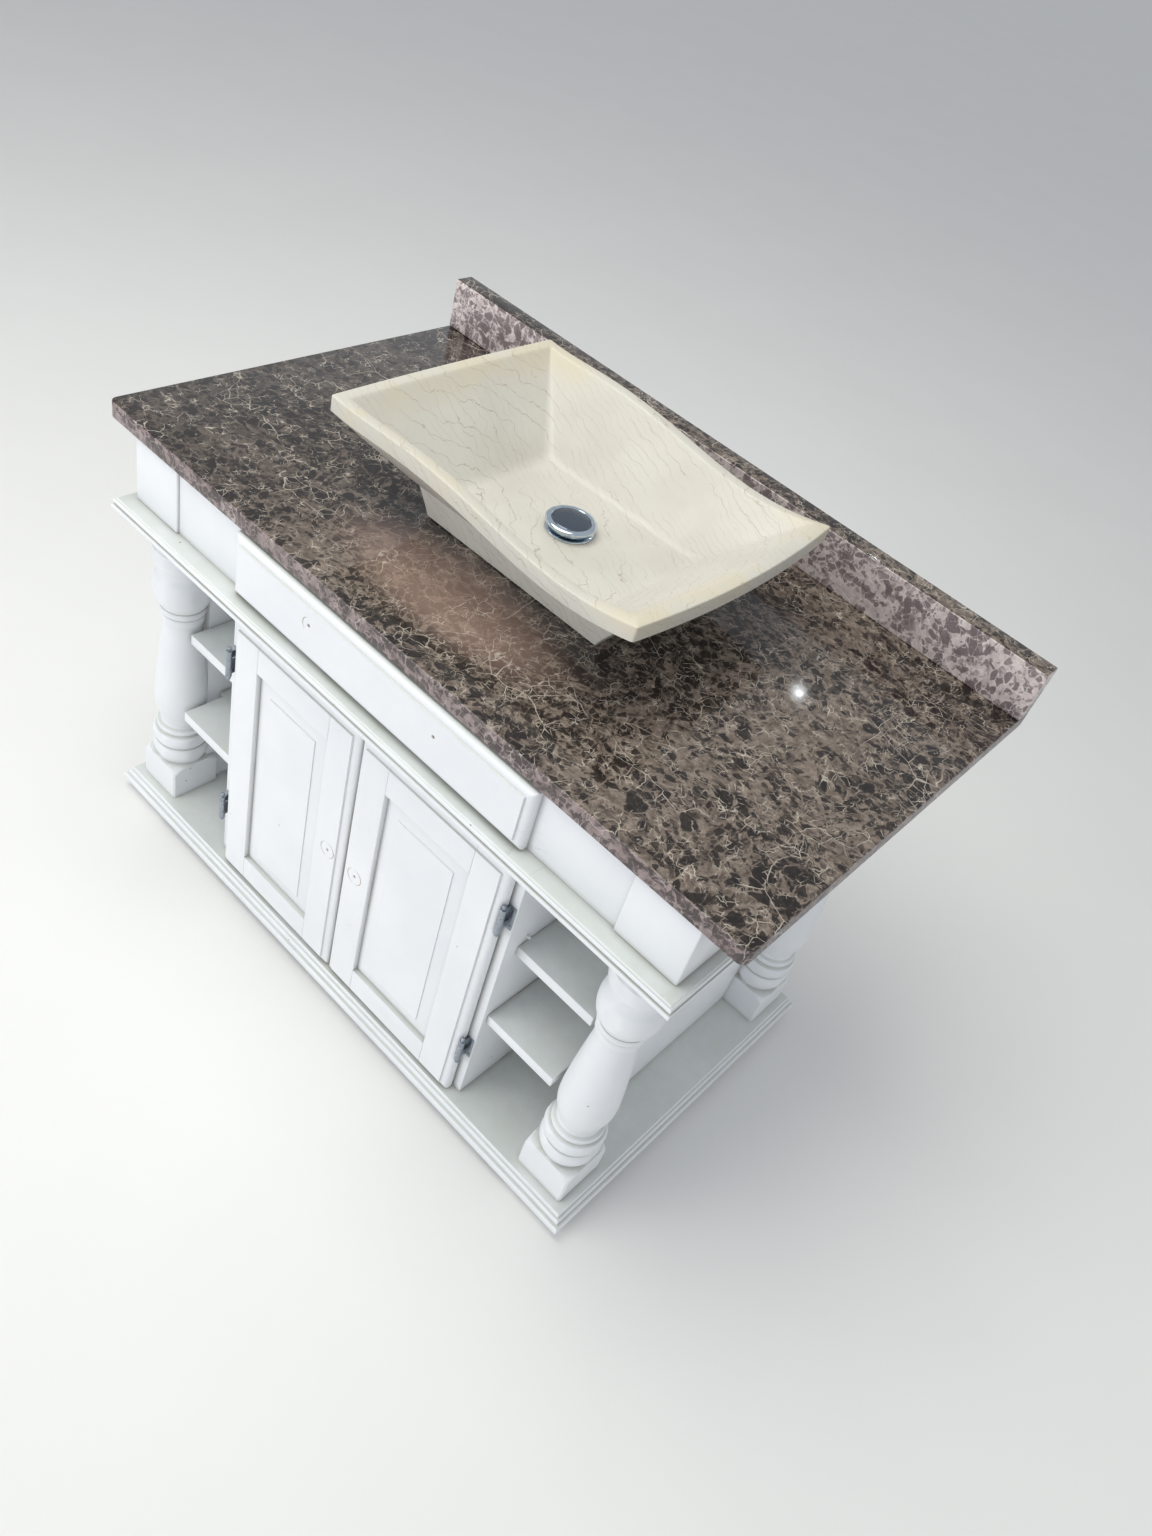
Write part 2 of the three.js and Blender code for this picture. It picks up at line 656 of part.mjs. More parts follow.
function roundedRectangle(x0, x1, y0, y1, radius) {
  const outline = new THREE.Shape();
  outline.moveTo(x0 + radius, y0);
  outline.lineTo(x1 - radius, y0);
  outline.absarc(x1 - radius, y0 + radius, radius, -Math.PI / 2, 0);
  outline.lineTo(x1, y1);
  outline.lineTo(x0, y1);
  outline.absarc(x0 + radius, y0 + radius, radius, Math.PI, 1.5 * Math.PI);
  return outline;
}

function addStoneTop() {
  const half = TOP_WIDTH / 2;
  const outline = roundedRectangle(-half, half, 0, TOP_DEPTH, TOP_CORNER_RADIUS);
  const hole = new THREE.Path();
  hole.absarc(SINK_X, SINK_DEPTH, WASTE_HOLE_RADIUS, 0, 2 * Math.PI, true);
  outline.holes.push(hole);
  const top = new THREE.ExtrudeGeometry(outline, {
    depth: TOP_THICKNESS,
    bevelEnabled: false,
    curveSegments: 6,
  });
  add("stone_top", top.translate(0, 0, TOP_UNDERSIDE), "marble");
  const upstand = block(
    -half, half,
    TOP_DEPTH - UPSTAND_THICKNESS, TOP_DEPTH,
    TOP_HEIGHT + GAP, TOP_HEIGHT + UPSTAND_HEIGHT,
  );
  add("stone_upstand", upstand, "marble");
}

// ---- Stone basin ----

const SIDE_STEPS = 10;

// Parameters (u, v) from -1 to 1 round the edge of a square, counter-clockwise from above.
function squareWalk() {
  const walk = [];
  const corners = [[-1, -1], [1, -1], [1, 1], [-1, 1]];
  corners.forEach(([u, v], i) => {
    const [nextU, nextV] = corners[(i + 1) % corners.length];
    for (let step = 0; step < SIDE_STEPS; step++) {
      const t = step / SIDE_STEPS;
      walk.push([u + (nextU - u) * t, v + (nextV - v) * t]);
    }
  });
  return walk;
}

const rimWave = (u) => RIM_WAVE.reduceRight((sum, coefficient) => sum * u + coefficient, 0);

// How far up the wall a level is, from 0 to 1, when the wall starts with a soft hollow at the floor.
function wallRise(level) {
  const hollow = SINK_FLOOR_FILLET;
  const height = level < hollow ? level ** 2 / (2 * hollow) : level - hollow / 2;
  return height / (1 - hollow / 2);
}

// One loop of the basin's skin: a rectangle of half sizes with bowed ends, moved back by shift, at a
// height that follows the rim's wave by the share given.
function basinLoop(halfLength, halfWidth, height, share, shift = 0) {
  return squareWalk().map(([u, v]) => {
    const bow = u > 0 ? SINK_END_BOW.right : SINK_END_BOW.left;
    const x = u * (halfLength + share * bow * (1 - v * v));
    const y = v * halfWidth + shift;
    return new THREE.Vector3(x, y, height + share * rimWave(u));
  });
}

const between = (low, high, t) => low + (high - low) * t;

function basinGeometry() {
  const halfLength = SINK_LENGTH / 2;
  const halfWidth = SINK_WIDTH / 2;
  const underRim = SINK_HEIGHT - SINK_RIM_EDGE;
  const loops = [basinLoop(SINK_FOOT_LENGTH / 2, SINK_FOOT_WIDTH / 2, 0, 0)];
  for (let i = 0; i <= SINK_FLARE.steps; i++) {
    const t = i / SINK_FLARE.steps;
    const length = between(SINK_FOOT_TOP_LENGTH / 2, halfLength, t ** SINK_FLARE.lengthPower);
    const width = between(SINK_FOOT_TOP_WIDTH / 2, halfWidth, t ** SINK_FLARE.widthPower);
    loops.push(basinLoop(length, width, between(SINK_FOOT_HEIGHT, underRim, t), t));
  }
  loops.push(basinLoop(halfLength, halfWidth, SINK_HEIGHT, 1));
  for (const level of SINK_WALL_LEVELS) {
    const length = between(SINK_FLOOR_LENGTH / 2, halfLength - SINK_RIM_WIDTH, level);
    const width = between(SINK_FLOOR_WIDTH / 2, halfWidth - SINK_RIM_WIDTH, level);
    const height = between(SINK_FLOOR, SINK_HEIGHT - 1, wallRise(level));
    loops.push(basinLoop(length, width, height, level, SINK_FLOOR_SHIFT * (1 - level)));
  }
  const hole = barrel(-1, SINK_FLOOR + 1, WASTE_HOLE_RADIUS, LATHE_SIDES);
  return cut(loft(loops), hole);
}

// ---- Pop-up waste ----

function ring(inner, outer, low, high) {
  const body = barrel(low, high, outer, LATHE_SIDES);
  return cut(body, barrel(low - 1, high + 1, inner, LATHE_SIDES));
}

function wasteBody() {
  const flangeLow = SINK_FLOOR + GAP;
  const flangeTop = flangeLow + WASTE_FLANGE_THICKNESS;
  const bottom = WASTE_BOTTOM - TOP_HEIGHT - SINK_REST_GAP;
  const outside = turned([
    [0, bottom],
    [WASTE_TUBE_RADIUS, bottom],
    [WASTE_TUBE_RADIUS, flangeLow],
    [WASTE_FLANGE_RADIUS, flangeLow],
    [WASTE_FLANGE_RADIUS - 1, flangeTop],
    [0, flangeTop],
  ]);
  return cut(outside, barrel(bottom - 1, flangeTop + 1, WASTE_BORE_RADIUS, LATHE_SIDES));
}

function capGeometry() {
  const stemEnd = SINK_FLOOR - CAP_STEM_LENGTH;
  return turned([
    [0, stemEnd],
    [CAP_STEM_RADIUS, stemEnd],
    [CAP_STEM_RADIUS, CAP_UNDERSIDE],
    [CAP_RADIUS - 2, CAP_UNDERSIDE],
    [CAP_RADIUS, CAP_UNDERSIDE + 2],
    [CAP_RADIUS - 1, CAP_TOP - 3],
    [CAP_RADIUS - 5, CAP_TOP - 0.8],
    [CAP_RADIUS - 16, CAP_TOP - 0.2],
    [0, CAP_TOP],
  ]);
}

function addBasin() {
  const basin = new THREE.Group();
  basin.position.set(SINK_X, SINK_DEPTH, TOP_HEIGHT + SINK_REST_GAP);
  basin.rotation.z = SINK_TURN;
  vanity.add(basin);
  add("basin", basinGeometry(), "limestone", basin);
  add("waste_body", wasteBody(), "chrome", basin);
  add("waste_cap", capGeometry(), "chrome", basin);
  const bore = WASTE_TUBE_RADIUS + GAP;
  const gasketTop = -TOP_THICKNESS - SINK_REST_GAP - GAP;
  const nutTop = gasketTop - GASKET_THICKNESS - GAP;
  add("waste_gasket", ring(bore, GASKET_RADIUS, gasketTop - GASKET_THICKNESS, gasketTop), "rubber", basin);
  add("waste_nut", ring(bore, NUT_RADIUS, nutTop - NUT_THICKNESS, nutTop), "chrome", basin);
}

// ---- Assembly ----

addBase();
addColumns();
addCarcass();
addSlab();
addApron();
addDrawer();
addDrawerGuides();
for (const [side, sign] of SIDES) {
  addDoor(side, sign);
  addHinges(side, sign);
}
addStoneTop();
addBasin();

export default model;
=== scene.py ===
"""The looks of a vessel sink on a painted vanity: its pieces in fine mesh work, with procedural materials.

Everything is in metres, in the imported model's frame: +Z up, +Y towards the wall, the origin on the floor.
"""
import json
import math

import bmesh
import bpy
from mathutils import Matrix, Vector


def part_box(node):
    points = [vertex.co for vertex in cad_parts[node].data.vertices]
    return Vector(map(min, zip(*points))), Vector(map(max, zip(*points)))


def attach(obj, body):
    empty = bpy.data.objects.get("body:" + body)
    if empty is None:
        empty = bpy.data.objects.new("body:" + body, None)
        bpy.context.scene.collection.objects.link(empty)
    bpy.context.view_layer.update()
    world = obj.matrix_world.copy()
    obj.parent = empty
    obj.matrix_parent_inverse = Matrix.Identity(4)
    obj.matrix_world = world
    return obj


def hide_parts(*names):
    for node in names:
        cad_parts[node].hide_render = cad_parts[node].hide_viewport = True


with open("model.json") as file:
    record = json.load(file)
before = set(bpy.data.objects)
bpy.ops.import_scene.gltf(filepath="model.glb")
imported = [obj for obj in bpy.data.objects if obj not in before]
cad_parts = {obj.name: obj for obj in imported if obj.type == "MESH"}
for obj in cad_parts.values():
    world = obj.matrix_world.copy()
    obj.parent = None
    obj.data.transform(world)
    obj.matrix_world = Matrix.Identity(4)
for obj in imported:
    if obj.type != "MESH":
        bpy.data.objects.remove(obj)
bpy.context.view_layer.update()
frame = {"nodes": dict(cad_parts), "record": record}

BODY_OF = {node: body for body, nodes in frame["record"]["behaviour"]["bodies"].items() for node in nodes}
MM = 0.001
SHARP_ANGLE = math.radians(32)
BACKWARDS = {"left": -1, "right": 1}


# ---------------------------------------------------------------- camera, light and floor


def add_camera():
    data = bpy.data.cameras.new("camera")
    data.sensor_width = 36
    data.lens = 27.71
    data.shift_x = -0.0114
    data.shift_y = -0.0105
    data.clip_start = 0.05
    camera = bpy.data.objects.new("camera", data)
    right = Vector((0.71294, 0.65804, 0.24230))
    up = Vector((-0.59777, 0.38969, 0.70058))
    back = Vector((0.36659, -0.64431, 0.67118))
    turn = Matrix((right, up, back)).transposed()
    camera.matrix_world = Matrix.Translation((0.8097, -1.1598, 1.6963)) @ turn.to_4x4()
    bpy.context.scene.collection.objects.link(camera)
    bpy.context.scene.camera = camera


def add_area_light(name, place, target, size, power, colour):
    data = bpy.data.lights.new(name, "AREA")
    data.shape = "DISK"
    data.size = size
    data.energy = power
    data.color = colour
    light = bpy.data.objects.new(name, data)
    light.location = place
    aim = Vector(target) - Vector(place)
    light.rotation_euler = aim.to_track_quat("-Z", "Y").to_euler()
    bpy.context.scene.collection.objects.link(light)


def add_studio():
    middle = (0, 0, 0.5)
    add_area_light("key", (-1.5, -3.4, 1.5), middle, 2.4, 46, (0.97, 0.98, 1.0))
    add_area_light("overhead", (-0.7, -0.5, 3.4), middle, 2.6, 60, (1.0, 1.0, 0.93))
    add_area_light("fill", (3.2, -1.6, 1.6), middle, 2.2, 9, (0.93, 0.97, 1.0))
    add_area_light("ceiling_lamp", (-0.12, 1.80, 2.21), (0.37, 0.04, 0.75), 0.03, 0.22, (0.85, 0.93, 1.0))
    world = bpy.data.worlds.new("studio")
    world.use_nodes = True
    world.node_tree.nodes["Background"].inputs["Color"].default_value = (0.86, 0.9, 0.95, 1)
    world.node_tree.nodes["Background"].inputs["Strength"].default_value = 0.55
    bpy.context.scene.world = world
    bpy.context.scene.view_settings.view_transform = "Standard"


def add_floor():
    half = 30.0
    corners = [(-half, -half, 0), (half, -half, 0), (half, half, 0), (-half, half, 0)]
    mesh = bpy.data.meshes.new("floor")
    mesh.from_pydata(corners, [], [(0, 1, 2, 3)])
    floor = bpy.data.objects.new("floor", mesh)
    floor.data.materials.append(floor_material())
    bpy.context.scene.collection.objects.link(floor)


# ---------------------------------------------------------------- materials


class Shader:
    """A node material on object coordinates, with short calls for the nodes that the looks use."""

    def __init__(self, name):
        self.material = bpy.data.materials.new(name)
        self.material.use_nodes = True
        self.tree = self.material.node_tree
        self.bsdf = self.tree.nodes["Principled BSDF"]
        self.place = self.node("ShaderNodeTexCoord").outputs["Object"]

    def node(self, kind, inputs=(), **settings):
        made = self.tree.nodes.new(kind)
        for key, value in settings.items():
            setattr(made, key, value)
        for key, value in dict(inputs).items():
            if isinstance(value, bpy.types.NodeSocket):
                self.tree.links.new(value, made.inputs[key])
            else:
                made.inputs[key].default_value = value
        return made

    def link(self, value, socket):
        self.tree.links.new(value, self.bsdf.inputs[socket])

    def set(self, **values):
        for key, value in values.items():
            self.bsdf.inputs[key.replace("_", " ")].default_value = value

    def math(self, operation, a, b=0.0):
        return self.node("ShaderNodeMath", {0: a, 1: b}, operation=operation).outputs[0]

    def between(self, value, low, high, to_low=0.0, to_high=1.0):
        """Maps low..high to to_low..to_high, smoothly and clamped."""
        wanted = {"Value": value, "From Min": low, "From Max": high, "To Min": to_low, "To Max": to_high}
        return self.node("ShaderNodeMapRange", wanted, interpolation_type="SMOOTHSTEP").outputs[0]

    def mix(self, factor, a, b, blend="MIX"):
        made = self.node("ShaderNodeMix", data_type="RGBA", blend_type=blend)
        for index, value in ((0, factor), (6, a), (7, b)):
            if isinstance(value, bpy.types.NodeSocket):
                self.tree.links.new(value, made.inputs[index])
            else:
                made.inputs[index].default_value = value if index == 0 else (*value, 1.0)
        return made.outputs[2]

    def noise(self, scale, detail=4.0, roughness=0.55, place=None, distortion=0.0):
        wanted = {"Vector": place or self.place, "Scale": scale, "Detail": detail}
        wanted.update({"Roughness": roughness, "Distortion": distortion})
        return self.node("ShaderNodeTexNoise", wanted)

    def product(self, *factors):
        result = factors[0]
        for factor in factors[1:]:
            result = self.math("MULTIPLY", result, factor)
        return result

    def stretched(self, scale, turn=(0, 0, 0), place=None):
        wanted = {"Vector": place or self.place, "Scale": scale, "Rotation": turn}
        return self.node("ShaderNodeMapping", wanted).outputs[0]

    def warped(self, scale, amount, place=None, detail=3.0):
        """The coordinates pushed about by a noise of the given scale."""
        start = place or self.place
        push = self.noise(scale, detail, place=start).outputs["Color"]
        centred = self.node("ShaderNodeVectorMath", {0: push, 1: (0.5, 0.5, 0.5)}, operation="SUBTRACT")
        scaled = self.node("ShaderNodeVectorMath", {0: centred.outputs[0]}, operation="SCALE")
        scaled.inputs["Scale"].default_value = amount
        moved = self.node("ShaderNodeVectorMath", {0: start, 1: scaled.outputs[0]}, operation="ADD")
        return moved.outputs[0]

    def cell_edges(self, scale, place, thin, fade):
        """Lines along the borders of random cells: 1 on the line, 0 beyond it."""
        return self.between(self.edge_distance(scale, place), thin, fade, 1.0, 0.0)

    def edge_distance(self, scale, place):
        """How far a point is from the border of its random cell, in cell sizes."""
        wanted = {"Vector": place, "Scale": scale}
        return self.node("ShaderNodeTexVoronoi", wanted, feature="DISTANCE_TO_EDGE").outputs["Distance"]

    def cell_value(self, scale, place):
        """A random value from 0 to 1 that is the same all over a cell."""
        made = self.node("ShaderNodeTexVoronoi", {"Vector": place, "Scale": scale})
        return self.node("ShaderNodeSeparateColor", {0: made.outputs["Color"]}).outputs[0]

    def axis(self, letter, place=None):
        split = self.node("ShaderNodeSeparateXYZ", {0: place or self.place})
        return split.outputs[letter]

    def facing_up(self):
        """1 on faces that look upwards, 0 on upright ones."""
        normal = self.node("ShaderNodeNewGeometry").outputs["Normal"]
        return self.between(self.axis("Z", normal), 0.6, 0.95)

    def crevices(self, reach):
        """1 deep in corners and joints, 0 in the open."""
        made = self.node("ShaderNodeAmbientOcclusion", {"Distance": reach}, samples=6)
        return self.between(made.outputs["AO"], 0.35, 0.95, 1.0, 0.0)

    def bump(self, height, strength, depth):
        wanted = {"Height": height, "Strength": strength, "Distance": depth}
        self.link(self.node("ShaderNodeBump", wanted).outputs[0], "Normal")


def floor_material():
    shader = Shader("studio_floor")
    mottled = shader.noise(3.0, 3.0).outputs["Fac"]
    shader.link(shader.mix(mottled, (0.84, 0.83, 0.81), (0.88, 0.87, 0.85)), "Base Color")
    shader.set(Roughness=0.8)
    return shader.material


def paint_material():
    """Cool white satin paint on wood: faint brush marks, dust and painted shade on top faces, grime and
    painted shade in joints and hollows, nicks.
    """
    shader = Shader("white_paint")
    clouds = shader.noise(5.0, 3.0).outputs["Fac"]
    colour = shader.mix(shader.between(clouds, 0.35, 0.7), (0.82, 0.835, 0.86), (0.87, 0.885, 0.905))
    top_shade_and_dust_place = shader.noise(14.0, 5.0, 0.65).outputs["Fac"]
    # Painted shade, with some dust: upward faces are made greyer and greener than upright ones.
    top_shade_and_dust = shader.product(shader.facing_up(), shader.between(top_shade_and_dust_place, 0.2, 0.7, 0.45, 0.85))
    colour = shader.mix(top_shade_and_dust, colour, (0.62, 0.65, 0.60))
    # Painted shade, with grime: darker paint in corners, joints and recesses, from ambient occlusion.
    grime_and_shade = shader.product(shader.crevices(0.012), shader.between(clouds, 0.3, 0.7, 0.25, 0.6))
    colour = shader.mix(grime_and_shade, colour, (0.36, 0.34, 0.29))
    nick = nicks(shader)
    colour = shader.mix(shader.product(nick, 0.8), colour, (0.12, 0.11, 0.10))
    scratch_place = shader.warped(9.0, 0.05, shader.stretched((9.0, 9.0, 60.0), (0.5, 0.3, 0.8)))
    scratches = shader.cell_edges(1.2, scratch_place, 0.0, 0.01)
    worn = shader.between(shader.noise(7.0, 2.0).outputs["Fac"], 0.6, 0.72, 0.0, 0.35)
    colour = shader.mix(shader.product(scratches, worn), colour, (0.45, 0.44, 0.42))
    shader.link(colour, "Base Color")
    shader.link(shader.between(top_shade_and_dust_place, 0.3, 0.7, 0.3, 0.46), "Roughness")
    brushed = shader.noise(60.0, 3.0, 0.6, shader.stretched((4.0, 4.0, 0.35))).outputs["Fac"]
    shader.bump(shader.math("SUBTRACT", brushed, shader.product(nick, 2.0)), 0.12, 0.0006)
    shader.set(IOR=1.48)
    return shader.material


def nicks(shader):
    """Small dark chips in the paint: the middle of one random cell in about 170."""
    cells_per_metre = 95.0
    wanted = {"Vector": shader.place, "Scale": cells_per_metre}
    from_middle = shader.node("ShaderNodeTexVoronoi", wanted).outputs["Distance"]
    chosen = shader.math("GREATER_THAN", shader.cell_value(cells_per_metre, shader.place), 0.994)
    return shader.product(chosen, shader.between(from_middle, 0.1, 0.17, 1, 0))


def timber_material():
    """Bare pine: long grain along the board with darker late wood."""
    shader = Shader("bare_pine")
    along = shader.warped(3.0, 0.25, shader.stretched((1.2, 1.2, 14.0), (0.02, 0.04, 0)))
    wanted = {"Vector": along, "Scale": 2.6, "Distortion": 5.0, "Detail": 3.0}
    rings = shader.node("ShaderNodeTexWave", wanted).outputs["Fac"]
    fibre = shader.noise(160.0, 3.0, 0.6, shader.stretched((0.15, 0.15, 3.0))).outputs["Fac"]
    tone = shader.mix(rings, (0.62, 0.46, 0.27), (0.47, 0.31, 0.16))
    tone = shader.mix(shader.between(fibre, 0.3, 0.8, 0.0, 0.45), tone, (0.72, 0.58, 0.38))
    shader.link(tone, "Base Color")
    shader.set(Roughness=0.62)
    shader.bump(fibre, 0.25, 0.0005)
    return shader.material


def marble_material(name, tones, gloss, patched=False):
    """Breccia marble: dark chips of three sizes in a paler ground, and a net of pale veins."""
    dark, ground, pale, cream = tones
    shader = Shader(name)
    flow = shader.warped(6.0, 0.06, detail=4.0)
    fine = shader.warped(38.0, 0.014, flow)
    grain = shader.noise(90.0, 6.0, 0.7, fine).outputs["Fac"]
    colour = shader.mix(shader.between(grain, 0.34, 0.68), ground, pale)
    colour = add_chips(shader, colour, dark, flow, fine)
    if patched:
        colour = rosy_patch(shader, colour)
        # Painted shade: the stone darkens towards the left.
        painted_shade_at_left = shader.between(shader.axis("X"), -0.6, 0.0, 0.62, 0.0)
        colour = shader.mix(painted_shade_at_left, colour, dark)
    nets = ((13.0, flow, 0.012, 0.75), (38.0, fine, 0.026, 0.8), (90.0, fine, 0.055, 0.7))
    for scale, place, width, weight in nets:
        lines = shader.cell_edges(scale, place, 0.0, width)
        broken = shader.between(shader.noise(scale * 0.5, 3.0, 0.6).outputs["Fac"], 0.5, 0.62)
        colour = shader.mix(shader.product(lines, broken, weight), colour, cream)
    shader.link(colour, "Base Color")
    shader.link(shader.between(grain, 0.3, 0.8, gloss, gloss + 0.08), "Roughness")
    shader.set(IOR=1.5)
    shader.bump(grain, 0.05, 0.0004)
    return shader.material


def add_chips(shader, colour, dark, flow, fine):
    """Dark fragments in part of the random cells, more of them where the clouds are thick."""
    clouds = shader.noise(4.5, 4.0, 0.6, flow).outputs["Fac"]
    sparse = shader.product(shader.between(clouds, 0.36, 0.62, 0.22, -0.2), 0.9)
    for scale, threshold, weight in ((170.0, 0.63, 0.72), (95.0, 0.61, 0.87), (55.0, 0.75, 0.92)):
        body = shader.between(shader.edge_distance(scale, fine), 0.03, 0.10)
        chosen = shader.math("SUBTRACT", shader.cell_value(scale, fine), sparse)
        chip = shader.product(body, shader.between(chosen, threshold - 0.12, threshold + 0.1))
        colour = shader.mix(shader.product(chip, weight), colour, dark)
    return colour


def rosy_patch(shader, colour):
    """The lighter, rosier stone that lies in front of the basin."""
    across = shader.math("DIVIDE", shader.math("ADD", shader.axis("X"), 0.02), 0.20)
    along = shader.math("DIVIDE", shader.math("ADD", shader.axis("Y"), 0.20), 0.08)
    reach = shader.math("ADD", shader.math("POWER", across, 2.0), shader.math("POWER", along, 2.0))
    return shader.mix(shader.between(reach, 0.1, 1.5, 0.55, 0.0), colour, (0.40, 0.272, 0.22))


def limestone_material():
    """Honed cream limestone: fine wavy seams that run one way, soft clouds, and yellow stains at the rim."""
    shader = Shader("cream_limestone")
    clouds = shader.noise(7.0, 4.0).outputs["Fac"]
    colour = shader.mix(shader.between(clouds, 0.3, 0.7), (0.60, 0.57, 0.505), (0.67, 0.64, 0.58))
    speck = shader.noise(220.0, 3.0, 0.7).outputs["Fac"]
    colour = shader.mix(shader.between(speck, 0.55, 0.75, 0.0, 0.18), colour, (0.54, 0.51, 0.44))
    layered = shader.warped(30.0, 0.016, shader.warped(9.0, 0.05, detail=4.0), 4.0)
    seams = (((0, 1.3, -0.36), 19.0, 0.075, 0.55), ((0.2, 1.1, -0.6), 31.0, 0.09, 0.42))
    for turn, scale, thin, weight in seams:
        across = shader.stretched((1.0, 1.0, 1.0), turn, layered)
        wanted = {"Vector": across, "Scale": scale, "Distortion": 2.2, "Detail": 3.0, "Detail Scale": 1.0}
        bands = shader.node("ShaderNodeTexWave", wanted, wave_profile="TRI").outputs["Fac"]
        broken = shader.between(shader.noise(scale * 0.4, 3.0).outputs["Fac"], 0.40, 0.56)
        seam = shader.product(shader.between(bands, 0.0, thin, 1.0, 0.0), broken, weight)
        colour = shader.mix(seam, colour, (0.30, 0.22, 0.15))
    high = shader.between(shader.axis("Z"), 0.865, 0.905)
    stain = shader.product(high, shader.between(clouds, 0.42, 0.62, 0.0, 0.42))
    colour = shader.mix(stain, colour, (0.60, 0.51, 0.30))
    shader.link(colour, "Base Color")
    shader.link(shader.between(speck, 0.3, 0.7, 0.32, 0.5), "Roughness")
    shader.bump(speck, 0.08, 0.0005)
    return shader.material


def metal_material(name, colour, roughness, spread):
    """Plated metal with fine wipe marks in its gloss."""
    shader = Shader(name)
    smear = shader.noise(90.0, 4.0, 0.6, shader.warped(30.0, 0.02)).outputs["Fac"]
    darker = tuple(0.78 * channel for channel in colour)
    shader.link(shader.mix(shader.between(smear, 0.4, 0.75), colour, darker), "Base Color")
    shader.link(shader.between(smear, 0.3, 0.75, roughness, roughness + spread), "Roughness")
    shader.set(Metallic=1.0)
    shader.bump(smear, 0.04, 0.0003)
    return shader.material


def rubber_material():
    shader = Shader("black_rubber")
    bloom = shader.noise(120.0, 4.0).outputs["Fac"]
    shader.link(shader.mix(bloom, (0.02, 0.02, 0.02), (0.05, 0.05, 0.05)), "Base Color")
    shader.set(Roughness=0.8)
    shader.bump(bloom, 0.15, 0.0004)
    return shader.material


def knob_dirt_and_hole_shade_material():
    """Brown dirt: the line that a round knob's edge leaves on paint. Also painted shade: the dark bottom of
    a screw hole.
    """
    shader = Shader("knob_mark")
    patchy = shader.noise(160.0, 3.0).outputs["Fac"]
    colour = shader.mix(shader.between(patchy, 0.35, 0.65), (0.46, 0.34, 0.24), (0.22, 0.13, 0.08))
    shader.link(colour, "Base Color")
    shader.set(Roughness=0.75)
    return shader.material


# The stone's dark chips, its ground, the ground's paler grains and the veins
TOP_TONES = ((0.014, 0.010, 0.009), (0.105, 0.078, 0.062), (0.27, 0.218, 0.178), (0.62, 0.55, 0.47))
# Paler copies of the marble for the upright faces of the top's edge and of the upstand: painted light and
# painted reflection.
EDGE_TONES = ((0.06, 0.043, 0.043), (0.20, 0.15, 0.145), (0.36, 0.285, 0.275), (0.56, 0.49, 0.47))
UPSTAND_TONES = ((0.20, 0.155, 0.16), (0.58, 0.49, 0.475), (0.80, 0.71, 0.69), (0.88, 0.83, 0.81))

MATERIAL = {
    "paint": paint_material(),
    "timber": timber_material(),
    "marble": marble_material("brown_marble", TOP_TONES, 0.06, True),
    "marble_edge": marble_material("marble_edge_painted_light", EDGE_TONES, 0.3),
    "marble_upstand": marble_material("marble_upstand", UPSTAND_TONES, 0.3),
    "limestone": limestone_material(),
    "chrome": metal_material("blue_chrome", (0.62, 0.70, 0.78), 0.08, 0.12),
    # A darker copy of the chrome for the waste cap's middle: a painted dark reflection.
    "dark_reflection": metal_material("dark_reflection_chrome", (0.16, 0.19, 0.23), 0.14, 0.2),
    "pewter": metal_material("grey_pewter", (0.36, 0.40, 0.45), 0.28, 0.2),
    "rubber": rubber_material(),
    "mark": knob_dirt_and_hole_shade_material(),
}


# ---------------------------------------------------------------- mesh helpers


def soften(bm):
    """Smooth shading, with the edges that are really sharp kept sharp."""
    bmesh.ops.recalc_face_normals(bm, faces=bm.faces)
    for face in bm.faces:
        face.smooth = True
    for edge in bm.edges:
        if len(edge.link_faces) == 2:
            edge.smooth = edge.calc_face_angle(0.0) < SHARP_ANGLE


def place_piece(name, bm, material, body, replaced=()):
    """Makes a scene object of a bmesh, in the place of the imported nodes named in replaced."""
    soften(bm)
    mesh = bpy.data.meshes.new(name)
    bm.to_mesh(mesh)
    bm.free()
    piece = bpy.data.objects.new(name, mesh)
    mesh.materials.append(MATERIAL[material])
    bpy.context.scene.collection.objects.link(piece)
    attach(piece, body)
    if replaced:
        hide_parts(*replaced)
    return piece


def loft(loops):
    """A skin through loops of points that all have the same count, with flat caps."""
    bm = bmesh.new()
    rings = [[bm.verts.new(point) for point in loop] for loop in loops]
    count = len(rings[0])
    for low, high in zip(rings, rings[1:]):
        for i in range(count):
            j = (i + 1) % count
            bm.faces.new((low[i], low[j], high[j], high[i]))
    bm.faces.new(reversed(rings[0]))
    bm.faces.new(rings[-1])
    return bm


def arc(centre, radius, start, end, steps):
    """Points on an arc in degrees, as (across, along) pairs."""
    made = []
    for i in range(steps + 1):
        angle = math.radians(start + (end - start) * i / steps)
        made.append((centre[0] + radius * math.cos(angle), centre[1] + radius * math.sin(angle)))
    return made


def level_ring(centre, radius, height, sides):
    """A circle of points about a vertical axis."""
    turn = [2 * math.pi * i / sides for i in range(sides)]
    return [(centre[0] + radius * math.cos(a), centre[1] + radius * math.sin(a), height) for a in turn]


def lathe(profile, centre, sides):
    """A solid of revolution about Z from (radius, height) pairs, closed flat at both ends."""
    return loft([level_ring(centre, radius, height, sides) for radius, height in profile])


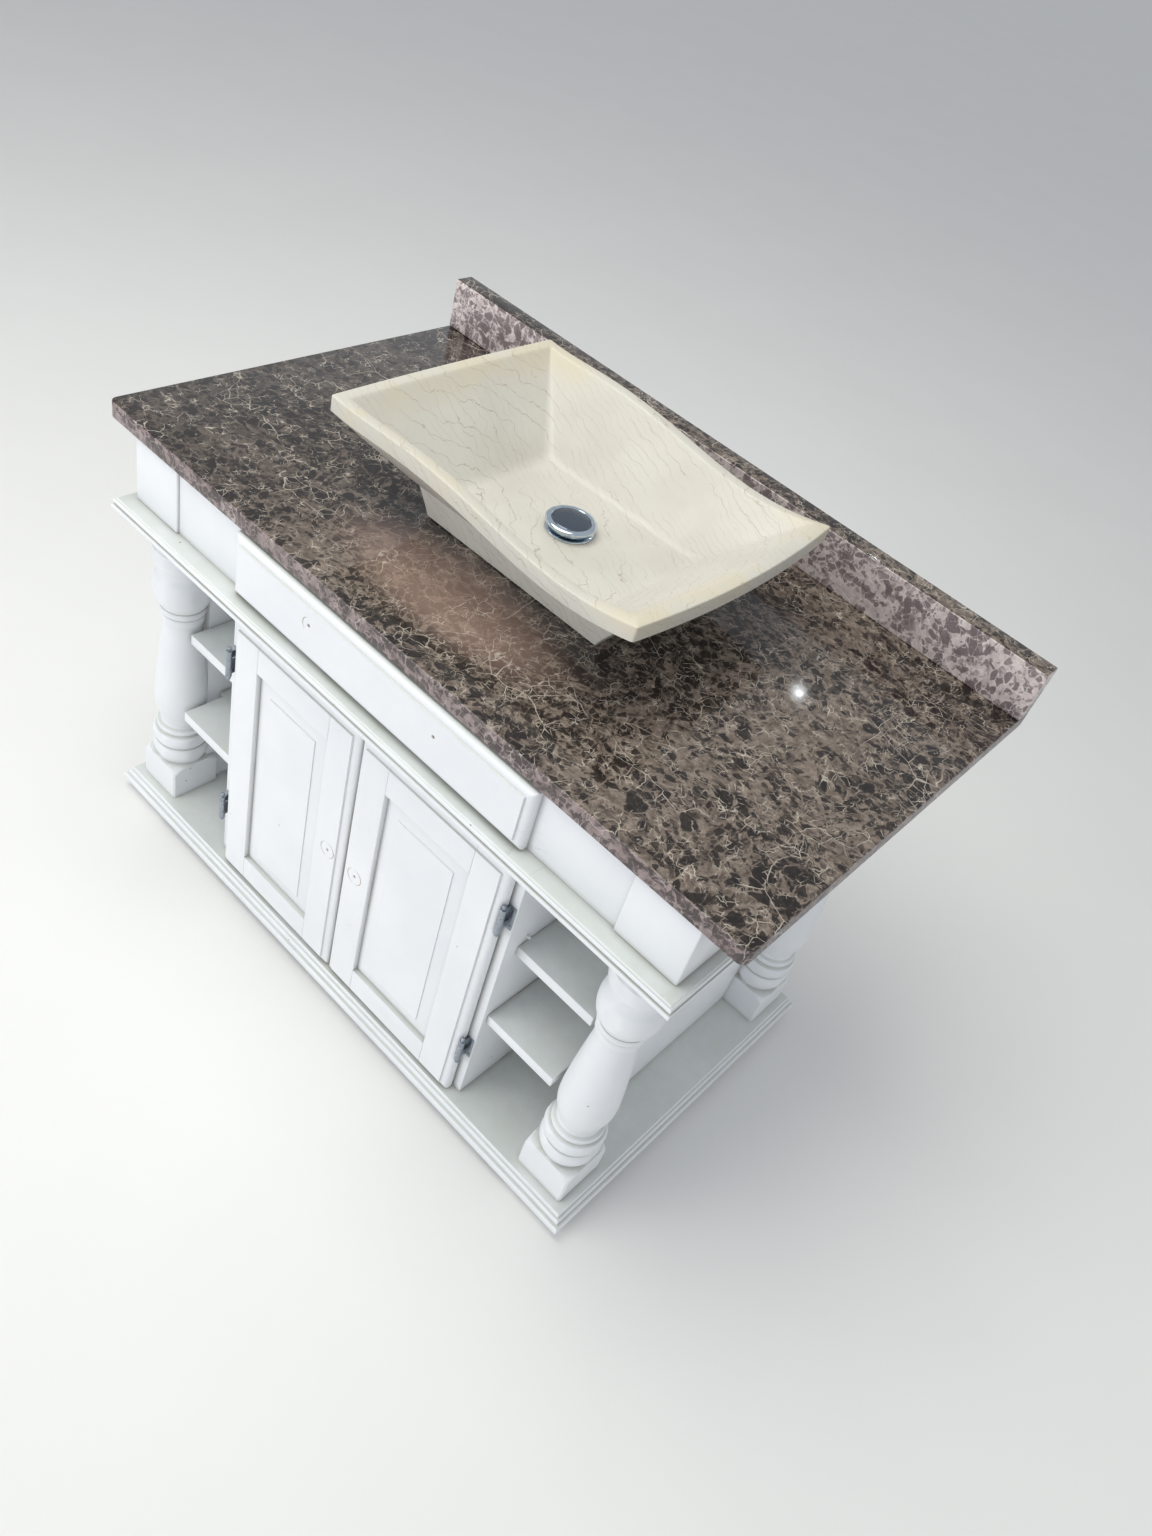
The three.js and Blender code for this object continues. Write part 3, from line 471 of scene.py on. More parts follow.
def tube(profile, centre, sides):
    """A solid of revolution from a profile that closes on itself and never meets the axis."""
    bm = bmesh.new()
    rings = []
    for radius, height in profile:
        rings.append([bm.verts.new(point) for point in level_ring(centre, radius, height, sides)])
    for low, high in zip(rings, rings[1:] + rings[:1]):
        for i in range(sides):
            j = (i + 1) % sides
            bm.faces.new((low[i], low[j], high[j], high[i]))
    return bm


def front_peg(x, z, face, profile, sides):
    """A round solid about an axis along Y, from (radius, depth behind the face) pairs in millimetres."""
    turn = [2 * math.pi * i / sides for i in range(sides)]
    loops = []
    for radius, depth in profile:
        reach = radius * MM
        y = face + depth * MM
        loops.append([(x + reach * math.cos(a), y, z + reach * math.sin(a)) for a in turn])
    return loft(loops)


def joined(parts):
    """One bmesh that holds several."""
    whole = bmesh.new()
    for part in parts:
        mesh = bpy.data.meshes.new("part")
        part.to_mesh(mesh)
        part.free()
        whole.from_mesh(mesh)
        bpy.data.meshes.remove(mesh)
    return whole


def eased_block(low, high, radius, segments=3):
    """A box between two corners with rounded edges."""
    bm = bmesh.new()
    bmesh.ops.create_cube(bm, size=1.0)
    for vert in bm.verts:
        vert.co = [low[i] + (high[i] - low[i]) * (vert.co[i] + 0.5) for i in range(3)]
    ease(bm, radius, segments)
    return bm


def ease(bm, radius, segments):
    """Rounds every sharp edge."""
    sharp = [e for e in bm.edges if len(e.link_faces) == 2 and e.calc_face_angle(0.0) > SHARP_ANGLE]
    shape = {"segments": segments, "profile": 0.5, "affect": "EDGES", "clamp_overlap": True}
    bmesh.ops.bevel(bm, geom=sharp, offset=radius, **shape)


def eased_copy(node, radius, material, segments=3):
    """The node's own shape with its flat faces merged and its sharp edges rounded."""
    bm = bmesh.new()
    bm.from_mesh(frame["nodes"][node].data)
    bmesh.ops.remove_doubles(bm, verts=bm.verts, dist=1e-5)
    flat = math.radians(1.0)
    bmesh.ops.dissolve_limit(bm, angle_limit=flat, verts=bm.verts, edges=bm.edges)
    ease(bm, radius, segments)
    return place_piece(f"{node}_fine", bm, material, BODY_OF[node], [node])


# ---------------------------------------------------------------- moulded boards


def moulded_loops(box, profile):
    """Rectangles in from the box's sides, one for each (inset, height) pair."""
    low, high = box
    loops = []
    for inset, height in profile:
        x0, x1, y0, y1 = low.x + inset, high.x - inset, low.y + inset, high.y - inset
        loops.append([(x0, y0, height), (x1, y0, height), (x1, y1, height), (x0, y1, height)])
    return loops


def base_profile(low, high):
    """Bottom to top: a rounded nose, a hollow, a fillet and an eased top arris."""
    nose = arc((4 * MM, low + 12 * MM), 4 * MM, 180, 90, 5)
    hollow = [(11 * MM - x, high - 12 * MM + y) for x, y in arc((0, 0), 5 * MM, 0, 90, 5)][::-1]
    return [
        (5 * MM, low),
        (1.5 * MM, low + 1.5 * MM),
        (0.0, low + 4 * MM),
        *nose,
        (6 * MM, low + 16.2 * MM),
        *sorted(hollow, key=lambda pair: pair[1]),
        (11.2 * MM, high - 5.5 * MM),
        (11.4 * MM, high - 1.2 * MM),
        (12.4 * MM, high),
    ]


def slab_profile(low, high):
    """Bottom to top: a cyma under a square nose, then a small bead along the top arris."""
    cyma = []
    for t in (0, 0.15, 0.3, 0.45, 0.6, 0.75, 0.9, 1):
        swing = 2.6 * MM * math.sin(2 * math.pi * t)
        cyma.append((16 * MM - 10 * MM * t - swing, low + 15 * MM * t))
    bead = []
    for degrees in range(0, 181, 22):
        angle = math.radians(degrees)
        bead.append((5 * MM - 3 * MM * math.sin(angle), high - 6 * MM - 4.5 * MM * math.cos(angle)))
    return [
        *cyma,
        (3.4 * MM, low + 15.2 * MM),
        (0.6 * MM, low + 17 * MM),
        (0.0, low + 18 * MM),
        (0.0, high - 12.8 * MM),
        (0.6 * MM, high - 11.6 * MM),
        *bead,
        (5.6 * MM, high - 1.0 * MM),
        (6.4 * MM, high),
    ]


def add_boards():
    """The plinth board, and the middle board with its opening for the pipes."""
    low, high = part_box("base_board")
    bm = loft(moulded_loops((low, high), base_profile(low.z, high.z)))
    place_piece("base_board_fine", bm, "paint", "root", ["base_board"])
    low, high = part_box("middle_board")
    bm = loft(moulded_loops((low, high), slab_profile(low.z, high.z)))
    piece = place_piece("middle_board_fine", bm, "paint", "root", ["middle_board"])
    hole_low = Vector((-0.12, -0.038, low.z - 0.01))
    hole_high = Vector((0.12, 0.222, high.z + 0.01))
    carve(piece, [eased_block(hole_low, hole_high, 0.001, 1)])


def carve(piece, tools):
    """Cuts the tools' shapes out of a piece, for good."""
    for bm in tools:
        bmesh.ops.recalc_face_normals(bm, faces=bm.faces)
        mesh = bpy.data.meshes.new("tool")
        bm.to_mesh(mesh)
        bm.free()
        tool = bpy.data.objects.new("tool", mesh)
        bpy.context.scene.collection.objects.link(tool)
        modifier = piece.modifiers.new("cut", "BOOLEAN")
        modifier.object = tool
        modifier.solver = "EXACT"
        view = bpy.context.evaluated_depsgraph_get()
        cut = bpy.data.meshes.new_from_object(piece.evaluated_get(view))
        piece.modifiers.remove(modifier)
        piece.data = cut
        bpy.data.objects.remove(tool)


# ---------------------------------------------------------------- turned columns

SQUARE = 44.5 * MM
SHOULDER = 40 * MM
POMMEL = 68 * MM
NECK = 41.5 * MM
POMMEL_STEPS = 14


def bead(low, high, inner, outer, steps=8):
    """A half-round bead between two heights, as (radius, height) pairs."""
    made = []
    for i in range(steps + 1):
        angle = math.pi * i / steps
        height = (low + high) / 2 - (high - low) / 2 * math.cos(angle)
        made.append((inner + (outer - inner) * math.sin(angle), height))
    return made


def spline_value(a, b, c, d, t):
    """The Catmull-Rom curve's value between b and c."""
    square = 2 * a - 5 * b + 4 * c - d
    cube = 3 * b - a - 3 * c + d
    return 0.5 * (2 * b + (c - a) * t + square * t * t + cube * t ** 3)


def smooth_through(points, steps):
    """A Catmull-Rom curve through (radius, height) pairs."""
    padded = [points[0], *points, points[-1]]
    made = []
    for a, b, c, d in zip(padded, padded[1:], padded[2:], padded[3:]):
        for i in range(steps):
            t = i / steps
            made.append(tuple(spline_value(a[k], b[k], c[k], d[k], t) for k in (0, 1)))
    return [*made, points[-1]]


def turned_profile(top):
    """(radius, height) pairs in millimetres above the base board, from the square's shoulder up."""
    shaft = [(33, 151), (38.5, 167), (44, 194), (42.2, 240), (37, 300), (33, 340), (31.5, 361)]
    urn = [(36.5, 399), (44.5, 414), (47, 434), (44.8, 451), (40, 462), (41.5, 472), (45.5, 480)]
    return [
        (41, POMMEL / MM),
        (41, 74),
        *bead(74, 102, 41, 47),
        (40.6, 102.6),
        (40.6, 104.4),
        *bead(105, 130, 41.5, 47.5),
        (39.4, 130.6),
        *bead(132, 144, 38, 41, 5),
        (35, 145.5),
        *smooth_through(shaft, 6),
        (31.5, 364.5),
        *bead(366, 382, 32.5, 35.5, 6),
        (33.6, 383),
        *bead(384, 396, 34.5, 37.8, 6),
        (36, 397.5),
        *smooth_through(urn, 5),
        (46.0, 482),
        (46.6, 485),
        (46.6, 503),
        (45.6, 507),
        (40.6, 511),
        (40, 514),
        (40, top),
    ]


def pommel_radius(height):
    """The lathe's cut over the square: a quarter-round shoulder that ends at the turning."""
    corner = SQUARE * math.sqrt(2)
    t = max(0.0, height - SHOULDER) / (POMMEL - SHOULDER)
    return NECK + (corner + 1 * MM - NECK) * math.sqrt(max(0.0, 1 - t * t))


def column_loop(centre, height, turned_radius, sides=96):
    """A section that is the square cut off by the lathe's circle."""
    loop = []
    for i in range(sides):
        angle = 2 * math.pi * (i + 0.5) / sides
        square = SQUARE / max(abs(math.cos(angle)), abs(math.sin(angle)))
        radius = min(square, turned_radius, SQUARE * math.sqrt(2) - 1.2 * MM)
        loop.append((centre[0] + radius * math.cos(angle), centre[1] + radius * math.sin(angle), height))
    return loop


def add_column(node):
    """A square plinth block and the turning above it, in one skin."""
    low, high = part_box(node)
    centre = ((low.x + high.x) / 2, (low.y + high.y) / 2)
    top = (high.z - low.z) / MM
    loops = [column_loop(centre, low.z, 1.0)]
    for i in range(POMMEL_STEPS + 1):
        height = SHOULDER - 2 * MM + (POMMEL - SHOULDER + 2 * MM) * i / POMMEL_STEPS
        loops.append(column_loop(centre, low.z + height, pommel_radius(height)))
    for radius, height in turned_profile(top):
        loops.append(column_loop(centre, low.z + height * MM, radius * MM))
    place_piece(f"{node}_turned", loft(loops), "paint", "root", [node])


# ---------------------------------------------------------------- doors and drawer front

LIP = 12.5 * MM
STEP = 3 * MM


def lip_depth(inward):
    """How far the surface lies behind the flat face, at a distance in from the front's edge."""
    if inward >= LIP:
        return 0.0
    nose = min(inward / (LIP - 1.0 * MM), 1.0)
    return STEP + 8 * MM * (1 - math.sqrt(max(0.0, 1 - (1 - nose) ** 2)))


# Distances in from an edge where a board's grid has a line: across the lip, and at a plain joint
LIP_LINES = [line * MM for line in (0, 0.2, 0.7, 1.5, 2.6, 4, 6, 8.5, 11.4, 12.1, 12.5, 13.1)]
JOINT_LINES = [line * MM for line in (0, 0.15, 0.5, 1)]


def lines_between(low, high, at_low, at_high, middle=4):
    """Grid lines across a board: close together where an edge is shaped."""
    made = {low + step for step in at_low} | {high - step for step in at_high}
    inner_low, inner_high = low + max(at_low), high - max(at_high)
    made |= {inner_low + (inner_high - inner_low) * i / middle for i in range(middle + 1)}
    return sorted(round(value, 6) for value in made)


def relief_board(xs, zs, face, back, depth):
    """A board that faces -Y: its front follows depth(x, z) behind the face plane."""
    bm = bmesh.new()
    front = [[bm.verts.new((x, face + depth(x, z), z)) for z in zs] for x in xs]
    for i in range(len(xs) - 1):
        for j in range(len(zs) - 1):
            bm.faces.new((front[i][j], front[i + 1][j], front[i + 1][j + 1], front[i][j + 1]))
    rim = [front[i][0] for i in range(len(xs))]
    rim += [front[-1][j] for j in range(1, len(zs))]
    rim += [front[i][-1] for i in range(len(xs) - 2, -1, -1)]
    rim += [front[0][j] for j in range(len(zs) - 2, 0, -1)]
    rear = [bm.verts.new((v.co.x, back, v.co.z)) for v in rim]
    for i in range(len(rim)):
        j = (i + 1) % len(rim)
        bm.faces.new((rim[j], rim[i], rear[i], rear[j]))
    bm.faces.new(rear)
    return bm


def lipped_member(low, high, whole_low, whole_high):
    """Part of a lipped front: the lip shows only along the edges that it shares with the whole."""
    soft = 0.5 * MM
    edges = [abs(low.x - whole_low.x) < soft, abs(high.x - whole_high.x) < soft]
    ends = [abs(low.z - whole_low.z) < soft, abs(high.z - whole_high.z) < soft]
    xs = lines_between(low.x, high.x, *[LIP_LINES if e else JOINT_LINES for e in edges])
    zs = lines_between(low.z, high.z, *[LIP_LINES if e else JOINT_LINES for e in ends], middle=8)

    def depth(x, z):
        inward = min(x - whole_low.x, whole_high.x - x, z - whole_low.z, whole_high.z - z)
        from_sides = (x - low.x, high.x - x, z - low.z, high.z - z)
        plain_sides = [distance for distance, lipped in zip(from_sides, edges + ends) if not lipped]
        joint = min([1.0] + [distance / (1.0 * MM) for distance in plain_sides])
        return max(lip_depth(max(inward, 0.0)), 0.45 * MM * (1 - max(joint, 0.0)) ** 2)

    return relief_board(xs, zs, low.y, high.y, depth)


def panel_board(node):
    """A raised panel: a groove at the frame, a hollow bevel and a flat field with a small step."""
    low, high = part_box(node)
    border, field = 28 * MM, 4 * MM
    face = low.y - field
    steps = [line * MM for line in (0, 0.5, 3, 8, 13, 18, 23, 26.5, 27.6, 28, 29)]
    xs = lines_between(low.x, high.x, steps, steps)
    zs = lines_between(low.z, high.z, steps, steps, middle=8)

    def depth(x, z):
        inward = min(x - low.x, high.x - x, z - low.z, high.z - z)
        if inward >= border:
            return field
        t = max(inward, 0.0) / border
        return field + 1.6 * MM + 3.4 * MM * (1 - t) ** 1.2

    return relief_board(xs, zs, face, high.y, depth)


def union_box(nodes):
    """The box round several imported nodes."""
    boxes = [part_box(node) for node in nodes]
    low = Vector([min(b[0][i] for b in boxes) for i in range(3)])
    high = Vector([max(b[1][i] for b in boxes) for i in range(3)])
    return low, high


def knob_hole_tool(x, z, face):
    """The shape that a countersunk screw hole takes out of a board's face."""
    return front_peg(x, z, face, ((3.4, -2.0), (3.0, 0.0), (2.2, 1.2), (2.0, 9.0)), 20)


def hole_shadow(name, x, z, face, body):
    """The dark bottom of a screw hole."""
    place_piece(name, front_peg(x, z, face, ((2.0, 0.9), (2.0, 2.0)), 20), "mark", body)


def knob_mark(name, x, z, face, radius, start, end, body):
    """A hair-thin raised line of dirt along part of the knob's round edge."""
    sides = 40
    bm = bmesh.new()
    rings = []
    for i in range(sides + 1):
        angle = math.radians(start + (end - start) * i / sides)
        swell = 1.0 * MM * math.sin(math.pi * i / sides) * (0.7 + 0.3 * math.sin(i * 1.7))
        section = ((-swell, 0.02 * MM), (0, -0.25 * MM), (swell, 0.02 * MM))
        ring = []
        for out, depth in section:
            reach = radius + out
            point = (x + reach * math.cos(angle), face + depth, z + reach * math.sin(angle))
            ring.append(bm.verts.new(point))
        rings.append(ring)
    for a, b in zip(rings, rings[1:]):
        for k in range(3):
            m = (k + 1) % 3
            bm.faces.new((a[k], a[m], b[m], b[k]))
    bmesh.ops.remove_doubles(bm, verts=bm.verts, dist=1e-7)
    place_piece(name, bm, "mark", body)


def add_doors():
    """Both doors, each as its five members, with the screw hole and the mark of a missing knob."""
    members = ("hinge_stile", "meeting_stile", "top_rail", "bottom_rail")
    for side, sign in BACKWARDS.items():
        whole = union_box([f"door_{side}_{member}" for member in members])
        knob_x, knob_z = sign * 0.0315, (whole[0].z + whole[1].z) / 2
        for member in members:
            node = f"door_{side}_{member}"
            low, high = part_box(node)
            bm = lipped_member(low, high, *whole)
            piece = place_piece(f"{node}_fine", bm, "paint", BODY_OF[node], [node])
            if member == "meeting_stile":
                carve(piece, [knob_hole_tool(knob_x, knob_z, low.y)])
                hole_shadow(f"knob_hole_{side}", knob_x, knob_z, low.y, BODY_OF[node])
        node = f"door_{side}_panel"
        place_piece(f"{node}_fine", panel_board(node), "paint", BODY_OF[node], [node])
        face = whole[0].y
        for part, start, end in (("a", -75, 95), ("b", 120, 262)):
            mark = f"knob_mark_{side}_{part}"
            knob_mark(mark, knob_x, knob_z, face, 14.5 * MM, start, end, BODY_OF[node])


def add_drawer_front():
    """The lipped front with its two screw holes, the left one with part of a knob's mark."""
    low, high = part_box("drawer_front")
    board = lipped_member(low, high, low, high)
    piece = place_piece("drawer_front_fine", board, "paint", "drawer", ["drawer_front"])
    knob_x, height = 0.123, 0.682
    carve(piece, [knob_hole_tool(sign * knob_x, height, low.y) for sign in (-1, 1)])
    for side, sign in BACKWARDS.items():
        hole_shadow(f"drawer_hole_{side}", sign * knob_x, height, low.y, "drawer")
    knob_mark("knob_mark_drawer", -knob_x, height, low.y, 12 * MM, 110, 230, "drawer")


# ---------------------------------------------------------------- hinges


HINGE_X = 0.293
HINGE_Y = -0.3376
HINGE_LEAF_X = (0.2923, 0.303)
DOOR_WRAP_X = 0.2898
KNUCKLE_RADIUS = 4.8 * MM
KNUCKLE_INNER = 9.3 * MM
KNUCKLE_OUTER = 25 * MM
PIN_RADIUS = 1.5 * MM
LEAF_HALF = 22 * MM
LEAF_THICKNESS = 1.4 * MM


def hinge_barrel(centre, low, high, radius):
    """A knuckle with eased ends."""
    ends = 0.5 * MM
    profile = [
        (radius - ends, low),
        (radius, low + ends),
        (radius, high - ends),
        (radius - ends, high),
    ]
    return lathe(profile, centre, 28)


# Radius and distance from the barrel, in millimetres
BALL_TIP = (
    (2.2, 0.0), (2.6, 0.5), (1.8, 1.2), (1.7, 1.8), (2.8, 2.6),
    (3.4, 3.8), (3.3, 4.9), (2.5, 6.0), (1.2, 6.7),
)


def ball_tip(centre, height, direction):
    """The turned ball at a pin's end."""
    profile = [(radius * MM, height + direction * along * MM) for radius, along in BALL_TIP]
    return lathe(profile, centre, 28)


def side_block(a, b, y0, y1, z0, z1, radius, segments):
    """A box whose two X values may come in either order."""
    return eased_block(Vector((min(a, b), y0, z0)), Vector((max(a, b), y1, z1)), radius, segments)


def frame_leaf_parts(sign, centre, low, high):
    """The pin with its ball tips, the two outer knuckles and the leaf on the cabinet's edge."""
    middle = (low.z + high.z) / 2
    plate = (sign * HINGE_LEAF_X[0], sign * HINGE_LEAF_X[1])
    plate_front = high.y - LEAF_THICKNESS
    parts = [
        hinge_barrel(centre, middle + KNUCKLE_INNER, middle + KNUCKLE_OUTER, KNUCKLE_RADIUS),
        hinge_barrel(centre, middle - KNUCKLE_OUTER, middle - KNUCKLE_INNER, KNUCKLE_RADIUS),
        lathe([(PIN_RADIUS, middle - KNUCKLE_OUTER), (PIN_RADIUS, middle + KNUCKLE_OUTER)], centre, 20),
        ball_tip(centre, middle + KNUCKLE_OUTER, 1),
        ball_tip(centre, middle - KNUCKLE_OUTER, -1),
        side_block(*plate, plate_front, high.y, middle - LEAF_HALF, middle + LEAF_HALF, 0.4 * MM, 2),
    ]
    web = (centre[0] - 0.7 * MM, centre[0] + 0.7 * MM, centre[1], high.y - 0.2 * MM)
    for start, end in ((KNUCKLE_INNER, LEAF_HALF), (-LEAF_HALF, -KNUCKLE_INNER)):
        parts.append(side_block(*web, middle + start, middle + end, 0.2 * MM, 1))
    for offset in (-15 * MM, 15 * MM):
        parts.append(screw_head((sign * 0.3005, plate_front, middle + offset)))
    return parts


def door_leaf_parts(sign, centre, low, high):
    """The middle knuckle, and the leaf that wraps round the door's edge to its back."""
    wrap = sign * DOOR_WRAP_X
    inner_end = low.x if sign > 0 else high.x
    plate_front = high.y - LEAF_THICKNESS
    return [
        hinge_barrel(centre, low.z, high.z, KNUCKLE_RADIUS),
        side_block(wrap, wrap + sign * 1.2 * MM, centre[1], high.y, low.z, high.z, 0.3 * MM, 2),
        side_block(wrap, inner_end, plate_front, high.y, low.z, high.z, 0.3 * MM, 2),
    ]


def add_hinges():
    for side, sign in BACKWARDS.items():
        centre = (sign * HINGE_X, HINGE_Y)
        for level in ("upper", "lower"):
            frame_node = f"hinge_{side}_{level}_frame_leaf"
            door_node = f"hinge_{side}_{level}_door_leaf"
            parts = frame_leaf_parts(sign, centre, *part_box(frame_node))
            place_piece(f"{frame_node}_fine", joined(parts), "pewter", "root", [frame_node])
            parts = door_leaf_parts(sign, centre, *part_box(door_node))
            place_piece(f"{door_node}_fine", joined(parts), "pewter", BODY_OF[door_node], [door_node])


def screw_head(place):
    """A small domed screw head that faces -Y."""
    x, y, z = place
    return front_peg(x, z, y, ((2.6, 0.1), (2.6, -0.3), (2.0, -0.8), (1.0, -1.1)), 18)


# ---------------------------------------------------------------- stone top and upstand


def split_edge_material(piece):
    """Upright faces take the second, paler material: painted light and painted reflection on the upright
    stone faces.
    """
    for face in piece.data.polygons:
        face.material_index = 0 if face.normal.z > 0.75 else 1


def add_stone():
    slabs = (("stone_top", 2.2 * MM, "marble_edge"), ("stone_upstand", 1.6 * MM, "marble_upstand"))
    for node, radius, edge in slabs:
        piece = eased_copy(node, radius, "marble")
        piece.data.materials.append(MATERIAL[edge])
        split_edge_material(piece)


# ---------------------------------------------------------------- basin

# Turn in radians, place, half sizes at the rim, and heights above the stone top
BASIN_TURN = 0.012
BASIN_CENTRE = Vector((-0.006, 0.003, 0.7533))
HALF_LENGTH, HALF_WIDTH = 272 * MM, 212 * MM
RIM_HEIGHT = 150 * MM
RIM_EDGE = 22 * MM
RIM_WIDTH = 18 * MM
END_BOW = {-1: 3 * MM, 1: 15 * MM}
# Coefficients of the rim's rise in millimetres, from the constant up
RIM_WAVE = [-4.2, -34.3, -12, 53.9, 19, -20.75]
FOOT = (165 * MM, 111 * MM)
FOOT_TOP = (188 * MM, 113 * MM, 38 * MM)
BASIN_FLOOR = 44 * MM
FLOOR_HALVES = (136 * MM, 93 * MM)
FLOOR_SHIFT = 9 * MM
FLOOR_HOLLOW = 0.16
BASIN_CORNER = 3 * MM
FLOOR_CORNER = 16 * MM
WASTE_HOLE = 22 * MM


def rim_wave(u):
    """The rim's rise above its nominal height, along the basin from -1 at the left to 1 at the right."""
    return MM * sum(coefficient * u ** power for power, coefficient in enumerate(RIM_WAVE))


def blend(low, high, t):
    return low + (high - low) * t


def basin_loop(half_length, half_width, height, share, corner=BASIN_CORNER, shift=0.0):
    """A rounded rectangle with bowed ends; share is how far its height follows the rim's wave."""
    side_steps, corner_steps = 40, 6
    bends = []
    for sx, sy, start in ((1, 1, 0), (-1, 1, 90), (-1, -1, 180), (1, -1, 270)):
        centre = (sx * (half_length - corner), sy * (half_width - corner))
        bends.append(arc(centre, corner, start, start + 90, corner_steps))
    loop = []
    for index, bend in enumerate(bends):
        loop += bend
        a, b = bend[-1], bends[(index + 1) % 4][0]
        loop += [tuple(blend(a[k], b[k], i / side_steps) for k in (0, 1)) for i in range(1, side_steps)]
    made = []
    for x, y in loop:
        u, v = x / half_length, y / half_width
        bowed = x + abs(u) * math.copysign(share, u) * END_BOW[1 if u > 0 else -1] * (1 - v * v)
        point = Vector((bowed, y + shift, height + share * rim_wave(u)))
        point.rotate(Matrix.Rotation(BASIN_TURN, 3, "Z"))
        made.append(point + BASIN_CENTRE)
    return made


def wall_rise(level):
    """How far up the inner wall a level is, with a soft hollow where the wall leaves the floor."""
    height = level ** 2 / (2 * FLOOR_HOLLOW) if level < FLOOR_HOLLOW else level - FLOOR_HOLLOW / 2
    return height / (1 - FLOOR_HOLLOW / 2)


def outer_loops():
    """The foot, and the flared wall up to the rim's underside."""
    foot_length, foot_width = FOOT
    top_length, top_width, top_height = FOOT_TOP
    foot_ease = 1.5 * MM
    loops = [basin_loop(foot_length - foot_ease, foot_width - foot_ease, 0, 0)]
    for i in range(6):
        t = i / 5
        height = blend(foot_ease, top_height, t)
        length = blend(foot_length, top_length, t ** 1.15)
        loops.append(basin_loop(length, blend(foot_width, top_width, t), height, 0))
    steps = 20
    for i in range(1, steps + 1):
        t = i / steps
        length = blend(top_length, HALF_LENGTH, t ** 1.1)
        width = blend(top_width, HALF_WIDTH, t ** 0.95)
        loops.append(basin_loop(length, width, blend(top_height, RIM_HEIGHT - RIM_EDGE, t), t))
    return loops


def rim_loops():
    """The upright face of the rim, rounded over at both its edges."""
    ease = 1.8 * MM
    loops = [basin_loop(HALF_LENGTH, HALF_WIDTH, RIM_HEIGHT - RIM_EDGE + 1.2 * MM, 1)]
    for angle in (0, 30, 60, 90):
        inward = ease * (1 - math.cos(math.radians(angle)))
        height = RIM_HEIGHT - ease * (1 - math.sin(math.radians(angle)))
        loops.append(basin_loop(HALF_LENGTH - inward, HALF_WIDTH - inward, height, 1))
    return loops


def inner_loops():
    """The rim's top, the hollow's walls and its floor."""
    edge_length, edge_width = HALF_LENGTH - RIM_WIDTH, HALF_WIDTH - RIM_WIDTH
    floor_length, floor_width = FLOOR_HALVES
    loops = [basin_loop(edge_length + 2 * MM, edge_width + 2 * MM, RIM_HEIGHT, 1)]
    steps = 48
    for i in range(steps + 1):
        level = 1 - i / steps
        length = blend(floor_length, edge_length, level)
        width = blend(floor_width, edge_width, level)
        rise = wall_rise(level)
        height = blend(BASIN_FLOOR, RIM_HEIGHT - 1 * MM, rise)
        corner = blend(FLOOR_CORNER, BASIN_CORNER, level)
        loops.append(basin_loop(length, width, height, level, corner, FLOOR_SHIFT * (1 - level)))
    for share in (0.8, 0.6, 0.42, 0.26):
        length, width = floor_length * share, floor_width * share
        loops.append(basin_loop(length, width, BASIN_FLOOR, 0, FLOOR_CORNER * share, FLOOR_SHIFT * share))
    return loops


def add_basin():
    skin = loft(outer_loops() + rim_loops() + inner_loops())
    basin = place_piece("basin_fine", skin, "limestone", "root", ["basin"])
    ends = (BASIN_CENTRE.z - 0.01, BASIN_CENTRE.z + 0.06)
    hole = lathe([(WASTE_HOLE, height) for height in ends], BASIN_CENTRE, 48)
    carve(basin, [hole])


# ---------------------------------------------------------------- pop-up waste


def add_waste():
    centre = BASIN_CENTRE
    low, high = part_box("waste_body")
    top = high.z
    flange = top - 3 * MM
    profile = [
        (15 * MM, low.z),
        (19 * MM, low.z),
        (19 * MM, flange),
        (35.2 * MM, flange),
        (36 * MM, flange + 0.6 * MM),
        (35.6 * MM, flange + 1.8 * MM),
        (34 * MM, top - 0.3 * MM),
        (31 * MM, top),
        (25 * MM, top - 0.8 * MM),
        (19 * MM, top - 2.2 * MM),
        (16 * MM, top - 4 * MM),
        (15 * MM, top - 7 * MM),
    ]
    place_piece("waste_body_fine", tube(profile, centre, 72), "chrome", "root", ["waste_body"])
    low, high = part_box("waste_cap")
    top = high.z
    cap = [
        (4.4 * MM, low.z),
        (5 * MM, low.z + 0.8 * MM),
        (5 * MM, top - 7.5 * MM),
        (20 * MM, top - 7.5 * MM),
        (34.5 * MM, top - 7.3 * MM),
        (36.6 * MM, top - 6.6 * MM),
        (37.4 * MM, top - 5.2 * MM),
        (37.3 * MM, top - 3.6 * MM),
        (36.4 * MM, top - 2.2 * MM),
        (34.6 * MM, top - 1.1 * MM),
        (32 * MM, top - 0.7 * MM),
        (29.5 * MM, top - 1.0 * MM),
        (28.6 * MM, top - 1.9 * MM),
        (27.4 * MM, top - 1.9 * MM),
        (26.6 * MM, top - 1.2 * MM),
        (22 * MM, top - 0.6 * MM),
        (14 * MM, top - 0.2 * MM),
        (6 * MM, top),
    ]
    piece = place_piece("waste_cap_fine", lathe(cap, centre, 72), "chrome", "waste_cap", ["waste_cap"])
    # Painted dark reflection: the cap's flat middle takes a darker copy of the chrome.
    piece.data.materials.append(MATERIAL["dark_reflection"])
    for face in piece.data.polygons:
        out = math.hypot(face.center.x - centre.x, face.center.y - centre.y)
        face.material_index = int(out < 28 * MM and face.center.z > top - 3 * MM)
    eased_copy("waste_gasket", 0.6 * MM, "rubber", 2)
    eased_copy("waste_nut", 1.0 * MM, "chrome", 2)


# ---------------------------------------------------------------- plain timber and painted pieces


